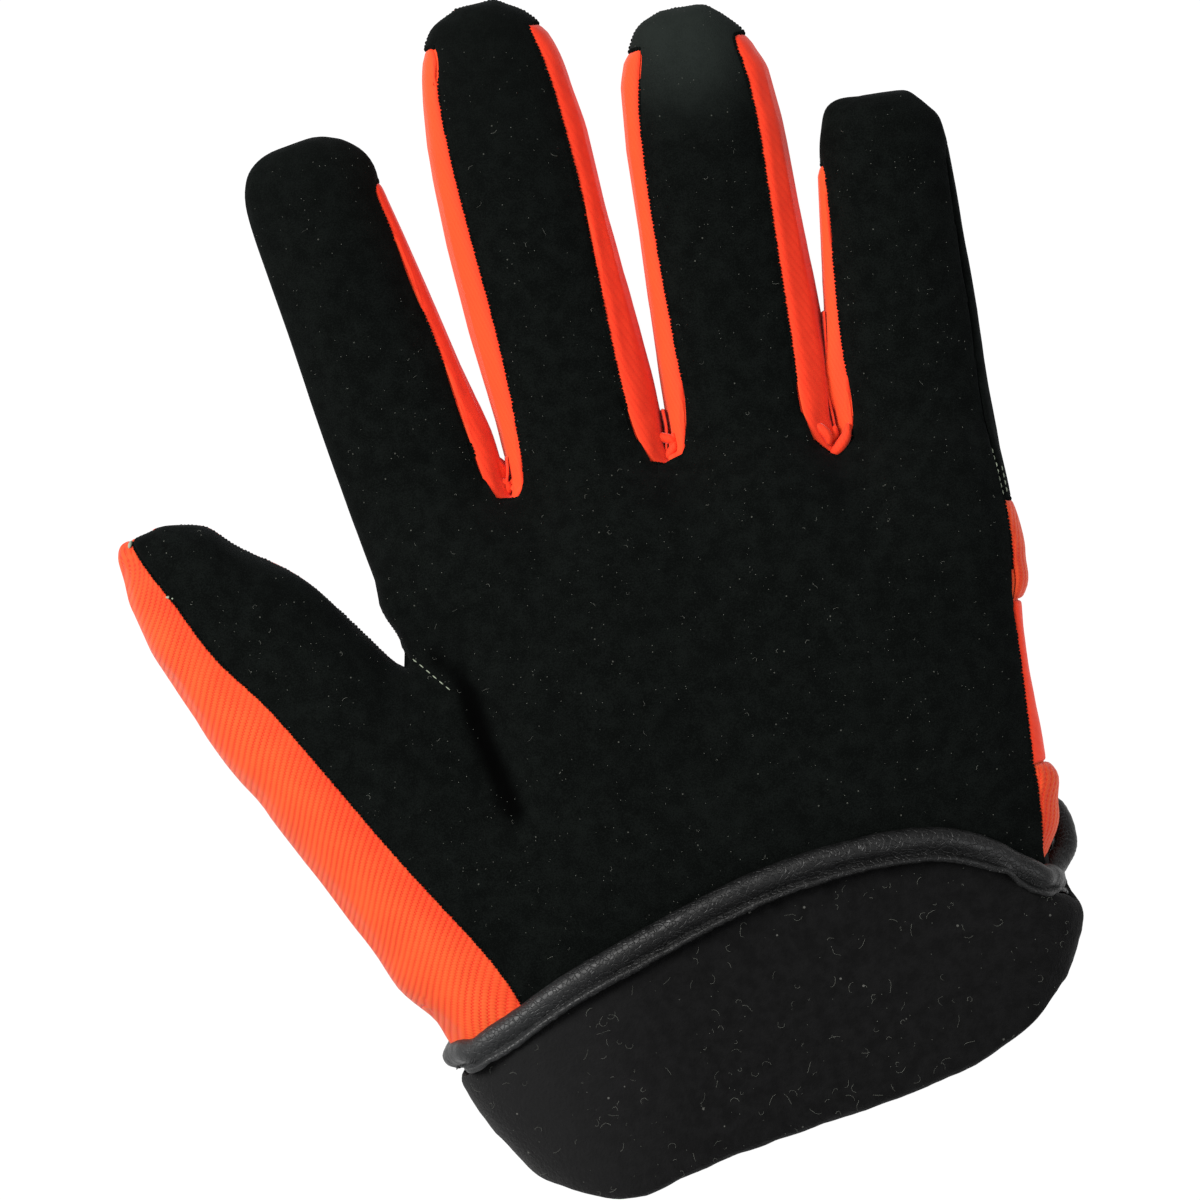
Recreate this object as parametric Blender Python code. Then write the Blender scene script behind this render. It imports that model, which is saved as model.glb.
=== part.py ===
"""A left-hand driver's work glove, lying palm up with its fleece-lined cuff turned back over the wrist.

The outer skin is worked out once, as one surface over four fingers, a thumb, the hand and the wrist.
It is then cut along its seams into panels, and each panel is given its own wall, a little clear of its
neighbours. The cuff lining and its rolled binding are lofted round the mouth of that same skin.
Sizes are in metres. +Y runs from the wrist to the fingertips, and +Z leaves the palm.
"""

import math

import bmesh
import bpy
import numpy as np
from mathutils import Vector

MM = 0.001

# Fingers: root width, length from the root to the tip, and sideways lean in degrees
INDEX_WIDTH = 28.9 * MM
MIDDLE_WIDTH = 28.9 * MM
RING_WIDTH = 29.8 * MM
PINKY_WIDTH = 27.8 * MM
INDEX_LENGTH = 71.5 * MM
MIDDLE_LENGTH = 87.5 * MM
RING_LENGTH = 79.5 * MM
PINKY_LENGTH = 61.5 * MM
INDEX_LEAN = 7.0
MIDDLE_LEAN = 0.9
RING_LEAN = -2.9
PINKY_LEAN = -4.5
FINGER_THICKNESS = 21.0 * MM
FINGER_CURL = 5.0 * MM
CROTCH_GAP = 1.6 * MM
CROTCH_DEPTH = 3.4 * MM
CROTCH_ROUNDING = 2.4 * MM

# Thumb
THUMB_LENGTH = 81.0 * MM
THUMB_WIDTH = 29.0 * MM
THUMB_THICKNESS = 25.0 * MM
THUMB_LEAN = 30.0
THUMB_LIFT = 4.0 * MM

# Hand and wrist
PALM_LENGTH = 100.0 * MM
PALM_THICKNESS = 34.0 * MM
MOUTH_WIDTH = 94.0 * MM
MOUTH_THICKNESS = 27.0 * MM
MOUTH_DROP = 20.0 * MM
MOUTH_BELLY = 2.2 * MM

# Walls, the turned cuff and its binding
PALM_WALL = 1.8 * MM
BACK_WALL = 1.8 * MM
FORK_WALL = 1.1 * MM
LINING_WALL = 2.1 * MM
SEAM_GAP = 0.34 * MM
LINING_GAP = 0.5 * MM
TURNED_GAP = 0.9 * MM
ROLL_DIAMETER = 4.4 * MM
FLANGE_WIDTH = 1.9 * MM
FLANGE_WALL = 0.7 * MM

# Counts of faces across each strip of the skin
PALM_STEPS = 5
SIDE_STEPS = 2
CROTCH_STEPS = 2
OUTER_STEPS = 4
CAP_STEPS = 4
OUTSIDE_STATIONS = 5

# Rounding of a finger's section and of the hand's, where 2 is an ellipse and more is squarer
FINGER_POWER = 2.3
HAND_POWER = 2.6

# The tip of a digit: its length as a share of the width, and the share of the width left at its closing seam
CAP_SHARE = 0.42
CAP_SEAM_SHARE = 0.3
SQUARE_CAP = 0.75
ROUND_CAP = 2.0

# Shaft sections, as shares: along the shaft, then left edge, left seam, right seam and right edge in half
# widths, and the half thickness
SHAFT_COLUMNS = ("along", "left", "seam_left", "seam_right", "right", "thick")
SHAFT_ACROSS = SHAFT_COLUMNS[1:5]
INDEX_SHAFT = (
    (0.00, -1.00, -0.93, 0.79, 1.00, 1.00),
    (0.15, -1.00, -0.93, 0.81, 1.05, 1.00),
    (0.38, -0.99, -0.92, 0.82, 0.96, 0.98),
    (0.60, -0.96, -0.89, 0.80, 0.91, 0.96),
    (0.82, -0.95, -0.88, 0.78, 0.85, 0.95),
    (1.00, -0.94, -0.87, 0.74, 0.79, 0.92),
)
MIDDLE_SHAFT = (
    (0.00, -1.00, -0.88, 0.73, 1.00, 1.00),
    (0.15, -1.00, -0.78, 0.64, 1.06, 1.00),
    (0.38, -1.06, -0.75, 0.69, 1.01, 0.98),
    (0.60, -1.07, -0.79, 0.76, 0.97, 0.97),
    (0.82, -1.03, -0.80, 0.75, 0.98, 0.95),
    (1.00, -0.89, -0.75, 0.70, 0.88, 0.92),
)
RING_SHAFT = (
    (0.00, -1.00, -0.88, 0.65, 1.00, 1.00),
    (0.15, -1.01, -0.78, 0.67, 1.08, 1.00),
    (0.38, -0.97, -0.79, 0.69, 1.06, 0.98),
    (0.60, -0.93, -0.79, 0.71, 1.03, 0.97),
    (0.82, -0.91, -0.76, 0.75, 1.02, 0.95),
    (1.00, -0.84, -0.68, 0.70, 0.94, 0.92),
)
PINKY_SHAFT = (
    (0.00, -1.00, -0.90, 0.90, 1.00, 1.00),
    (0.20, -1.07, -0.90, 0.87, 0.96, 1.00),
    (0.45, -1.01, -0.88, 0.88, 0.96, 0.98),
    (0.70, -0.92, -0.83, 0.89, 0.95, 0.96),
    (1.00, -0.81, -0.76, 0.88, 0.93, 0.92),
)

# Thumb sections, as shares of its length along and of its width across: the inner edge, the seam with the
# back, and the outer edge, then the half thickness
THUMB_COLUMNS = ("in_along", "in_across", "seam_along", "seam_across", "out_along", "out_across", "thick")
THUMB_SECTIONS = (
    (0.43, 0.68, -0.17, -0.15, -0.14, -0.74, 1.10),
    (0.53, 0.65, 0.03, -0.16, 0.09, -0.65, 1.08),
    (0.64, 0.62, 0.24, -0.13, 0.30, -0.61, 1.04),
    (0.74, 0.55, 0.45, -0.10, 0.50, -0.52, 1.00),
    (0.84, 0.43, 0.63, -0.10, 0.70, -0.37, 0.90),
)
THUMB_ROOT_SHARES = (-0.441, 0.39)

# Rows of the hand from the knuckles to the cuff, as shares: the left and right ends across the knuckles and
# along the palm, the right seam's inset, then the half thickness above and below mid-height, the clearance
# under the row in binding heights, and how far the fingers' ridges have melted into the palm
HAND_COLUMNS = ("left_x", "left_y", "right_x", "right_y", "inset", "above", "below", "floor", "melt")
HAND_ROWS = (
    (-0.436, 0.940, 0.551, 0.895, 0.010, 0.80, 0.76, 0.0, 0.50),
    (-0.426, 0.850, 0.552, 0.800, 0.012, 0.94, 0.92, 0.0, 0.85),
    (-0.406, 0.743, 0.557, 0.705, 0.020, 1.00, 1.00, 0.0, 1.00),
    (-0.358, 0.665, 0.532, 0.615, 0.012, 1.03, 1.00, 0.0, 1.00),
    (-0.329, 0.555, 0.520, 0.520, 0.010, 1.03, 1.00, 0.1, 1.00),
    (-0.326, 0.445, 0.517, 0.420, 0.016, 1.02, 0.96, 0.4, 1.00),
    (-0.339, 0.335, 0.514, 0.312, 0.024, 1.00, 0.88, 1.0, 1.00),
    (-0.351, 0.225, 0.516, 0.220, 0.030, 0.94, 0.80, 1.0, 1.00),
    (-0.353, 0.105, 0.497, 0.125, 0.022, 0.86, 0.72, 1.0, 1.00),
)
WEB_ROW = 3
CUFF_ROW = 9
KNUCKLE_LAST_ROW = 2
UPPER_BACK_LAST_ROW = 4
STRETCH_LAST_ROW = 7
HAND_LEFT_SHARE = -0.50
SIDE_INSET_SHARE = 0.026
CUFF_LEFT_SHARES = (-0.478, 0.065)
WEB_THIN_SHARE = 0.62

# The fold at the mouth, from its left side to its right, as shares of the mouth's width and drop
FOLD_COLUMNS = ("across", "x", "drop")
FOLD_LINE = (
    (0.00, -0.475, 1.02),
    (0.08, -0.425, 1.32),
    (0.20, -0.310, 1.42),
    (0.35, -0.130, 1.24),
    (0.50, 0.050, 1.10),
    (0.65, 0.220, 1.02),
    (0.80, 0.390, 0.88),
    (0.92, 0.515, 0.64),
    (1.00, 0.580, 0.28),
)
WRIST_SHARES = (0.30, 0.66, 1.00)
WRIST_FLOORS = (0.86, 0.74, 0.64)

# Where the binding runs once the cuff is turned back, over the palm and over the back of the hand: share of
# the way round from the thumb side to the little finger's side, and height as a share of the palm's length
RIM_COLUMNS = ("around", "height")
RIM_OVER_PALM = (
    (0.00, 0.010),
    (0.06, 0.025),
    (0.19, 0.082),
    (0.26, 0.125),
    (0.34, 0.158),
    (0.43, 0.193),
    (0.52, 0.222),
    (0.61, 0.236),
    (0.70, 0.239),
    (0.77, 0.228),
    (0.82, 0.205),
    (0.87, 0.160),
    (0.91, 0.105),
    (1.00, 0.072),
)
RIM_OVER_BACK = (
    (0.00, 0.010),
    (0.08, 0.060),
    (0.22, 0.150),
    (0.40, 0.225),
    (0.60, 0.250),
    (0.88, 0.250),
    (0.94, 0.210),
    (1.00, 0.072),
)

# Soft hollows pressed into the palm, as shares of the knuckle width and palm length: centre, half length,
# half width, direction in degrees from +Y, and depth as a share of the palm's thickness
DENT_COLUMNS = ("x", "y", "half_length", "half_width", "turn", "depth")
PALM_DENTS = (
    (-0.325, 0.560, 0.130, 0.040, 4.0, 0.170),
    (-0.372, 0.690, 0.050, 0.045, 50.0, 0.090),
    (0.040, 0.560, 0.260, 0.240, -10.0, 0.060),
)

# Finishes: name, colour and roughness
BLACK_SUEDE = ("black_suede", (0.012, 0.013, 0.013), 0.95)
ORANGE_RIB = ("orange_ribbed_cloth", (0.95, 0.085, 0.012), 0.8)
ORANGE_STRETCH = ("orange_stretch_cloth", (0.93, 0.060, 0.010), 0.7)
BLACK_FLEECE = ("black_fleece", (0.014, 0.014, 0.014), 1.0)
BLACK_BINDING = ("black_binding", (0.022, 0.022, 0.022), 0.5)

# Panels: name, finish and wall
PANEL_COLUMNS = ("name", "finish", "wall")
PANELS = (
    ("palm_panel", BLACK_SUEDE, PALM_WALL),
    ("fork_index_middle", ORANGE_STRETCH, FORK_WALL),
    ("fork_middle_ring", ORANGE_STRETCH, FORK_WALL),
    ("fork_ring_pinky", ORANGE_STRETCH, FORK_WALL),
    ("thumb_back", ORANGE_RIB, BACK_WALL),
    ("knuckle_panel", BLACK_SUEDE, BACK_WALL),
    ("back_middle", ORANGE_RIB, BACK_WALL),
    ("back_ring", ORANGE_RIB, BACK_WALL),
    ("back_upper", ORANGE_RIB, BACK_WALL),
    ("stretch_band", ORANGE_STRETCH, BACK_WALL),
    ("back_lower", ORANGE_RIB, BACK_WALL),
)

TOP_STEPS = 2 * SIDE_STEPS + PALM_STEPS
RING_STEPS = 2 * TOP_STEPS
HAND_STEPS = 2 * SIDE_STEPS + 4 * PALM_STEPS + 3 * CROTCH_STEPS
THUMB_ROWS = CUFF_ROW - WEB_ROW
WRIST_ROWS = len(WRIST_SHARES)
THUMB_RING = 2 * SIDE_STEPS + 2 * THUMB_ROWS + OUTER_STEPS
ROOT_GAPS = 3 * CROTCH_GAP
KNUCKLE_WIDTH = INDEX_WIDTH + MIDDLE_WIDTH + RING_WIDTH + PINKY_WIDTH + ROOT_GAPS
KNUCKLE_LEFT = -0.445 * KNUCKLE_WIDTH
UNDER_CUFF = ROLL_DIAMETER + TURNED_GAP


def column(table, columns, name):
    """One named column of a table, as an array."""
    return np.array([row[columns.index(name)] for row in table], float)


def arch(share, power):
    """Height from 0 to 1 of a rounded section at a share from its left edge to its right."""
    side = min(abs(2.0 * share - 1.0), 1.0)
    return (1.0 - side**power) ** (1.0 / power)


def side_shares(seam, steps, power):
    """Shares from an edge at 0 in to a seam, spaced so that the wall between is cut into like faces."""
    seam_angle = math.acos(min(1.0, 1.0 - 2.0 * seam) ** (power / 2.0))
    angles = [seam_angle * step / steps for step in range(steps)]
    return [(1.0 - math.cos(angle) ** (2.0 / power)) / 2.0 for angle in angles] + [seam]


def across_shares(seam_left, seam_right, power):
    """Shares across the top of a digit: side wall, palm strip, side wall."""
    left = side_shares(seam_left, SIDE_STEPS, power)
    right = [1.0 - share for share in side_shares(1.0 - seam_right, SIDE_STEPS, power)]
    middle = np.linspace(seam_left, seam_right, PALM_STEPS + 1)
    return left + list(middle[1:-1]) + right[::-1]


class Skin:
    """The glove's outer surface: shared points, and faces that each belong to a panel."""

    def __init__(self):
        self.points = []
        self.faces = []
        self.panels = []

    def add(self, x, y, z):
        self.points.append((x, y, z))
        return len(self.points) - 1

    def face(self, corners, panel, mirrored=False):
        """A face that bends from its first corner to its third, or, when mirrored, between the other two."""
        corners = corners[1:] + corners[:1] if mirrored else corners
        kept = [c for n, c in enumerate(corners) if c != corners[n - 1]]
        self.faces.append(kept)
        self.panels.append(panel)


class Finger:
    """Where one finger stands and how its sections run."""

    def __init__(self, order, width, length, lean, shaft, cap, fork_cap_rows, forks, back):
        self.order = order
        self.width = width
        self.length = length
        self.lean = math.radians(lean)
        self.shaft = shaft
        self.cap = cap
        self.fork_rows = len(shaft) - 1 + fork_cap_rows
        self.left_fork, self.right_fork = forks
        self.back = back
        self.rings = []


def fingers():
    """The four fingers from the thumb side. Fork strips end with the shaft, or a row into the tip."""
    first, second, third = "fork_index_middle", "fork_middle_ring", "fork_ring_pinky"
    index_size = (INDEX_WIDTH, INDEX_LENGTH, INDEX_LEAN, INDEX_SHAFT)
    middle_size = (MIDDLE_WIDTH, MIDDLE_LENGTH, MIDDLE_LEAN, MIDDLE_SHAFT)
    ring_size = (RING_WIDTH, RING_LENGTH, RING_LEAN, RING_SHAFT)
    pinky_size = (PINKY_WIDTH, PINKY_LENGTH, PINKY_LEAN, PINKY_SHAFT)
    return [
        Finger(0, *index_size, SQUARE_CAP, 0, (None, first), "knuckle_panel"),
        Finger(1, *middle_size, ROUND_CAP, 1, (first, second), "back_middle"),
        Finger(2, *ring_size, ROUND_CAP, 1, (second, third), "back_ring"),
        Finger(3, *pinky_size, SQUARE_CAP, 0, (third, None), "knuckle_panel"),
    ]


def root_centres(digits):
    """The centre of each finger's root, side by side across the knuckles, on a falling line to the pinky."""
    falls = (1.030, 1.040, 1.030, 0.975)
    centres = []
    edge = KNUCKLE_LEFT
    for digit, fall in zip(digits, falls):
        centres.append((edge + digit.width / 2.0, fall * PALM_LENGTH))
        edge += digit.width + CROTCH_GAP
    return centres


def cap_rows(section, squareness):
    """Sections of a rounded tip beyond the last shaft section: along the cap, edges, seams and thickness."""
    rows = []
    middle = (section["left"] + section["right"]) / 2.0
    for step in range(1, CAP_STEPS + 1):
        turn = math.pi / 2.0 * (step / CAP_STEPS) ** 0.85
        round_share = max(math.cos(turn), 0.0)
        width = CAP_SEAM_SHARE + (1.0 - CAP_SEAM_SHARE) * round_share**squareness
        row = {key: middle + (section[key] - middle) * width for key in SHAFT_ACROSS}
        row["along"] = math.sin(turn)
        row["thick"] = 0.0 if step == CAP_STEPS else section["thick"] * round_share**0.8
        row["even"] = (step / CAP_STEPS) ** 2
        rows.append(row)
    return rows


def finger_sections(digit):
    """All sections of one finger, with their distance along it."""
    cap = CAP_SHARE * digit.width
    shaft = digit.length - cap
    sections = [dict(zip(SHAFT_COLUMNS, row)) for row in digit.shaft]
    rows = [dict(section, distance=section["along"] * shaft) for section in sections]
    rows += [dict(row, distance=shaft + row["along"] * cap) for row in cap_rows(sections[-1], digit.cap)]
    return rows


def add_finger(skin, digit, centre):
    """Rings of one finger: from the left edge over the palm side to the right edge, and back underneath."""
    along = Vector((-math.sin(digit.lean), math.cos(digit.lean)))
    across = Vector((math.cos(digit.lean), math.sin(digit.lean)))
    half = digit.width / 2.0
    for row in finger_sections(digit):
        left, right = row["left"] * half, row["right"] * half
        span = right - left
        shares = across_shares(
            (row["seam_left"] * half - left) / span,
            (row["seam_right"] * half - left) / span,
            FINGER_POWER,
        )
        even = row.get("even", 0.0)
        shares = [share + even * (step / TOP_STEPS - share) for step, share in enumerate(shares)]
        travel = row["distance"] / digit.length
        middle = FINGER_THICKNESS / 2.0 * 0.96 + FINGER_CURL * travel**2
        rise = FINGER_THICKNESS / 2.0 * row["thick"]
        tops, unders = [], []
        for step, share in enumerate(shares):
            plan = Vector(centre) + along * row["distance"] + across * (left + span * share)
            if row["distance"] == 0.0:
                plan -= along * CROTCH_ROUNDING * crotch_pull(digit, step)
            height = rise * arch(share, FINGER_POWER)
            tops.append(skin.add(plan.x, plan.y, middle + height))
            edge = step in (0, TOP_STEPS) or rise == 0.0
            unders.append(tops[-1] if edge else skin.add(plan.x, plan.y, max(middle - height, 0.0)))
        digit.rings.append(tops + unders[-2:0:-1])


def crotch_pull(digit, step):
    """How much of the crotch's rounding a step of a finger's first ring takes part in."""
    from_left = abs(step - SIDE_STEPS)
    from_right = abs(step - SIDE_STEPS - PALM_STEPS)
    shares = (1.0, 0.3)
    pull = 0.0
    if digit.left_fork and step >= SIDE_STEPS and from_left < len(shares):
        pull = shares[from_left]
    if digit.right_fork and step <= SIDE_STEPS + PALM_STEPS and from_right < len(shares):
        pull = max(pull, shares[from_right])
    return pull


def finger_faces(skin, digit):
    """Faces between a finger's rings, shared out among the palm, the two forks and the back."""
    for row in range(len(digit.rings) - 1):
        lower, upper = digit.rings[row], digit.rings[row + 1]
        for step in range(RING_STEPS):
            after = (step + 1) % RING_STEPS
            under = step >= TOP_STEPS
            across = RING_STEPS - 1 - step if under else step
            on_left = across < SIDE_STEPS
            on_right = across >= SIDE_STEPS + PALM_STEPS
            fork = digit.left_fork if on_left else digit.right_fork if on_right else None
            if fork and row < digit.fork_rows:
                panel = fork
            elif under or (on_right and not digit.right_fork and row < digit.fork_rows):
                panel = digit.back
            else:
                panel = "palm_panel"
            skin.face((lower[step], lower[after], upper[after], upper[step]), panel)


def crotch_column(skin, left_digit, right_digit):
    """Points down the middle of a crotch, from the palm seam to the back seam, between two finger roots."""
    column_points = []
    near, far = left_digit.rings[0], right_digit.rings[0]
    for level in range(2 * SIDE_STEPS + 1):
        left_point = Vector(skin.points[near[SIDE_STEPS + PALM_STEPS + level]])
        right_point = Vector(skin.points[far[(SIDE_STEPS - level) % RING_STEPS]])
        middle = (left_point + right_point) / 2.0
        edge_right = Vector(skin.points[near[TOP_STEPS]])
        edge_left = Vector(skin.points[far[0]])
        middle.y = min(edge_right.y, edge_left.y) - CROTCH_DEPTH
        centre_height = edge_right.z
        middle.z = centre_height + (middle.z - centre_height) * 0.92
        column_points.append(skin.add(*middle))
    return column_points


def crotch_faces(skin, left_digit, right_digit, middle):
    """The fork's turn between two finger roots."""
    near, far = left_digit.rings[0], right_digit.rings[0]
    for level in range(2 * SIDE_STEPS):
        a = near[SIDE_STEPS + PALM_STEPS + level]
        b = near[SIDE_STEPS + PALM_STEPS + level + 1]
        c = far[(SIDE_STEPS - level - 1) % RING_STEPS]
        d = far[(SIDE_STEPS - level) % RING_STEPS]
        low = level >= SIDE_STEPS
        skin.face((a, middle[level], middle[level + 1], b), left_digit.right_fork, low)
        skin.face((middle[level], d, c, middle[level + 1]), left_digit.right_fork, not low)


def knuckle_row(digits, crotches):
    """Row 0 of the hand: the finger roots and crotches, over the palm and underneath."""
    top, under = [], []
    for digit in digits:
        ring = digit.rings[0]
        first = 0 if digit.order == 0 else SIDE_STEPS
        last = TOP_STEPS if digit.order == 3 else SIDE_STEPS + PALM_STEPS
        for step in range(first, last + 1):
            top.append(ring[step])
            under.append(ring[-step % RING_STEPS])
        if digit.order < 3:
            top.append(crotches[digit.order][0])
            under.append(crotches[digit.order][-1])
    return top, under


def hand_rows(skin, knuckles):
    """Rows 1 to the cuff, over the palm and underneath. Past the web they start at the thumb's root."""
    top0, under0 = knuckles
    first = np.array([skin.points[i] for i in top0])
    first_under = np.array([skin.points[i] for i in under0])
    shares0 = (first[:, 0] - first[0, 0]) / (first[-1, 0] - first[0, 0])
    line0 = first[0, 1] + shares0 * (first[-1, 1] - first[0, 1])
    waves = first[:, 1] - line0
    middle0 = first[0, 2]
    ridges = (first[:, 2] - middle0) / (FINGER_THICKNESS / 2.0)
    ridges_under = (middle0 - first_under[:, 2]) / (FINGER_THICKNESS / 2.0)
    half = PALM_THICKNESS / 2.0
    rows = [(top0, under0)]
    for number, values in enumerate(HAND_ROWS, start=1):
        row = dict(zip(HAND_COLUMNS, values))
        begin = 0 if number <= WEB_ROW else SIDE_STEPS
        left = row["left_x"] * KNUCKLE_WIDTH
        right = row["right_x"] * KNUCKLE_WIDTH
        virtual_left = left if number <= WEB_ROW else HAND_LEFT_SHARE * KNUCKLE_WIDTH
        inset_left = SIDE_INSET_SHARE * KNUCKLE_WIDTH if number <= WEB_ROW else 0.0
        seam_left, seam_right = left + inset_left, right - row["inset"] * KNUCKLE_WIDTH
        inner0, inner1 = shares0[SIDE_STEPS], shares0[-1 - SIDE_STEPS]
        middle = half * 0.5 + half * 0.42 * min(row["above"], 1.0)
        floor = row["floor"] * UNDER_CUFF
        tops, unders = [None] * begin, [None] * begin
        for step in range(begin, HAND_STEPS + 1):
            from_right = HAND_STEPS - step
            if step < SIDE_STEPS:
                shares = side_shares(inset_left / (right - left), SIDE_STEPS, HAND_POWER)
                x = left + shares[step] * (right - left)
            elif from_right < SIDE_STEPS:
                shares = side_shares((right - seam_right) / (right - virtual_left), SIDE_STEPS, HAND_POWER)
                x = right - shares[from_right] * (right - virtual_left)
            else:
                inner = (shares0[step] - inner0) / (inner1 - inner0)
                x = seam_left + inner * (seam_right - seam_left)
            along = (x - left) / (right - left)
            y = (row["left_y"] + along * (row["right_y"] - row["left_y"])) * PALM_LENGTH
            y += waves[step] * (1.0 - row["melt"])
            bow = arch((x - virtual_left) / (right - virtual_left), HAND_POWER)
            if number == WEB_ROW and step < SIDE_STEPS + 2:
                bow *= WEB_THIN_SHARE + (1.0 - WEB_THIN_SHARE) * step / (SIDE_STEPS + 2)
            above = row["melt"] * bow + (1.0 - row["melt"]) * ridges[step]
            below = row["melt"] * bow + (1.0 - row["melt"]) * ridges_under[step]
            tops.append(skin.add(x, y, middle + half * row["above"] * above))
            on_edge = step in (0, HAND_STEPS)
            depth = max(middle - half * row["below"] * below, floor)
            unders.append(tops[-1] if on_edge else skin.add(x, y, depth))
        rows.append((tops, unders))
    return rows


def back_panel(row):
    """The panel that covers the back of the hand between this row and the next."""
    if row < KNUCKLE_LAST_ROW:
        return "knuckle_panel"
    if row < UPPER_BACK_LAST_ROW:
        return "back_upper"
    if row < STRETCH_LAST_ROW:
        return "stretch_band"
    return "back_lower"


def hand_faces(skin, rows):
    """Faces of the palm and of the back of the hand, down to the cuff."""
    for number in range(len(rows) - 1):
        top, under = rows[number]
        next_top, next_under = rows[number + 1]
        begin = 0 if number < WEB_ROW else SIDE_STEPS
        for step in range(begin, HAND_STEPS):
            right_wall = step >= HAND_STEPS - SIDE_STEPS
            panel = back_panel(number) if right_wall else "palm_panel"
            skin.face((top[step], next_top[step], next_top[step + 1], top[step + 1]), panel)
            corners = (under[step], under[step + 1], next_under[step + 1], next_under[step])
            skin.face(corners, back_panel(number))


def outer_wrist(skin, rows):
    """Points round the thumb side of the cuff row, from the palm seam to the back."""
    top, under = rows[CUFF_ROW]
    seam, base = Vector(skin.points[top[SIDE_STEPS]]), Vector(skin.points[under[SIDE_STEPS]])
    edge_x, edge_y = CUFF_LEFT_SHARES[0] * KNUCKLE_WIDTH, CUFF_LEFT_SHARES[1] * PALM_LENGTH
    middle_z = (seam.z + base.z) / 2.0
    points = [top[SIDE_STEPS]]
    for step in range(1, OUTER_STEPS):
        turn = math.pi * step / OUTER_STEPS
        out = math.sin(turn) ** (2.0 / FINGER_POWER)
        over = math.copysign(abs(math.cos(turn)) ** (2.0 / HAND_POWER), math.cos(turn))
        x = seam.x + (edge_x - seam.x) * out
        y = seam.y + (edge_y - seam.y) * out
        points.append(skin.add(x, y, middle_z + (seam.z - middle_z) * over))
    return points + [under[SIDE_STEPS]]


def thumb_root_ring(rows, wrist):
    """The thumb's first ring, made of points that the hand already has."""
    web_top, web_under = rows[WEB_ROW]
    ring = [web_top[step] for step in range(SIDE_STEPS)]
    ring += [rows[WEB_ROW + row][0][SIDE_STEPS] for row in range(THUMB_ROWS)]
    ring += wrist
    ring += [rows[CUFF_ROW - row][1][SIDE_STEPS] for row in range(1, THUMB_ROWS)]
    ring += [web_under[step] for step in range(SIDE_STEPS, 0, -1)]
    return ring


def thumb_plan(row, key):
    """A point of a thumb section in plan, from its shares along and across the thumb."""
    lean = math.radians(THUMB_LEAN)
    along = Vector((-math.sin(lean), math.cos(lean)))
    across = Vector((math.cos(lean), math.sin(lean)))
    root = Vector((THUMB_ROOT_SHARES[0] * KNUCKLE_WIDTH, THUMB_ROOT_SHARES[1] * PALM_LENGTH))
    return root + along * (row[key + "_along"] * THUMB_LENGTH) + across * (row[key + "_across"] * THUMB_WIDTH)


def thumb_cap(section):
    """Sections that round off the thumb's tip."""
    rows = []
    for step in range(1, CAP_STEPS + 1):
        turn = math.pi / 2.0 * (step / CAP_STEPS) ** 0.85
        keep = CAP_SEAM_SHARE + (1.0 - CAP_SEAM_SHARE) * max(math.cos(turn), 0.0) ** SQUARE_CAP
        centre_across = (section["in_across"] + section["out_across"]) / 2.0
        row = {}
        for key in ("in", "seam", "out"):
            row[key + "_across"] = centre_across + (section[key + "_across"] - centre_across) * keep
            reach = 1.0 - section[key + "_along"]
            row[key + "_along"] = section[key + "_along"] + reach * math.sin(turn)
        row["thick"] = 0.0 if step == CAP_STEPS else section["thick"] * math.cos(turn) ** 0.8
        row["even"] = (step / CAP_STEPS) ** 2
        rows.append(row)
    return rows


def thumb_rings(skin, root_ring):
    """Rings of the thumb: inner edge, palm side, outer wall, underside, back to the inner edge."""
    sections = [dict(zip(THUMB_COLUMNS, row)) for row in THUMB_SECTIONS]
    sections += thumb_cap(sections[-1])
    rings = [root_ring]
    for number, row in enumerate(sections, start=1):
        inner, seam, outer = (thumb_plan(row, key) for key in ("in", "seam", "out"))
        palm_span, outer_span = (seam - inner).length, (outer - seam).length
        seam_share = palm_span / (palm_span + outer_span)
        travel = number / len(sections)
        middle = PALM_THICKNESS * 0.46 * (1.0 - travel) + (THUMB_THICKNESS / 2.0 + THUMB_LIFT) * travel
        rise = THUMB_THICKNESS / 2.0 * row["thick"]
        inset = 0.07
        palm_shares = side_shares(inset, SIDE_STEPS, FINGER_POWER)
        palm_shares += list(np.linspace(inset, seam_share, THUMB_ROWS + 1))[1:]
        half_outer = OUTER_STEPS // 2
        outer_shares = [1.0 - s for s in side_shares(1.0 - seam_share, half_outer, FINGER_POWER)]
        shares = palm_shares + outer_shares[half_outer - 1 :: -1]
        even = row.get("even", 0.0)
        last = len(shares) - 1
        shares = [share + even * (step / last - share) for step, share in enumerate(shares)]
        seam_share = shares[SIDE_STEPS + THUMB_ROWS]
        tops, unders = [], []
        for share in shares:
            if share <= seam_share:
                plan = inner.lerp(seam, share / seam_share)
            else:
                plan = seam.lerp(outer, (share - seam_share) / (1.0 - seam_share))
            height = rise * arch(share, FINGER_POWER)
            tops.append(skin.add(plan.x, plan.y, middle + height))
            closed = share in (shares[0], shares[-1]) or rise == 0.0
            unders.append(tops[-1] if closed else skin.add(plan.x, plan.y, max(middle - height, 0.0)))
        rings.append(tops + unders[-2:0:-1])
    return rings


def thumb_faces(skin, rings):
    """Faces of the thumb: the palm's leather in front, ribbed cloth round the outside and behind."""
    for row in range(len(rings) - 1):
        lower, upper = rings[row], rings[row + 1]
        for step in range(THUMB_RING):
            after = (step + 1) % THUMB_RING
            in_palm = step < SIDE_STEPS + THUMB_ROWS
            below_web = row == 0 and step >= THUMB_RING - SIDE_STEPS - 1
            panel = "palm_panel" if in_palm else "thumb_back"
            skin.face((lower[step], lower[after], upper[after], upper[step]), panel, below_web)


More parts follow.
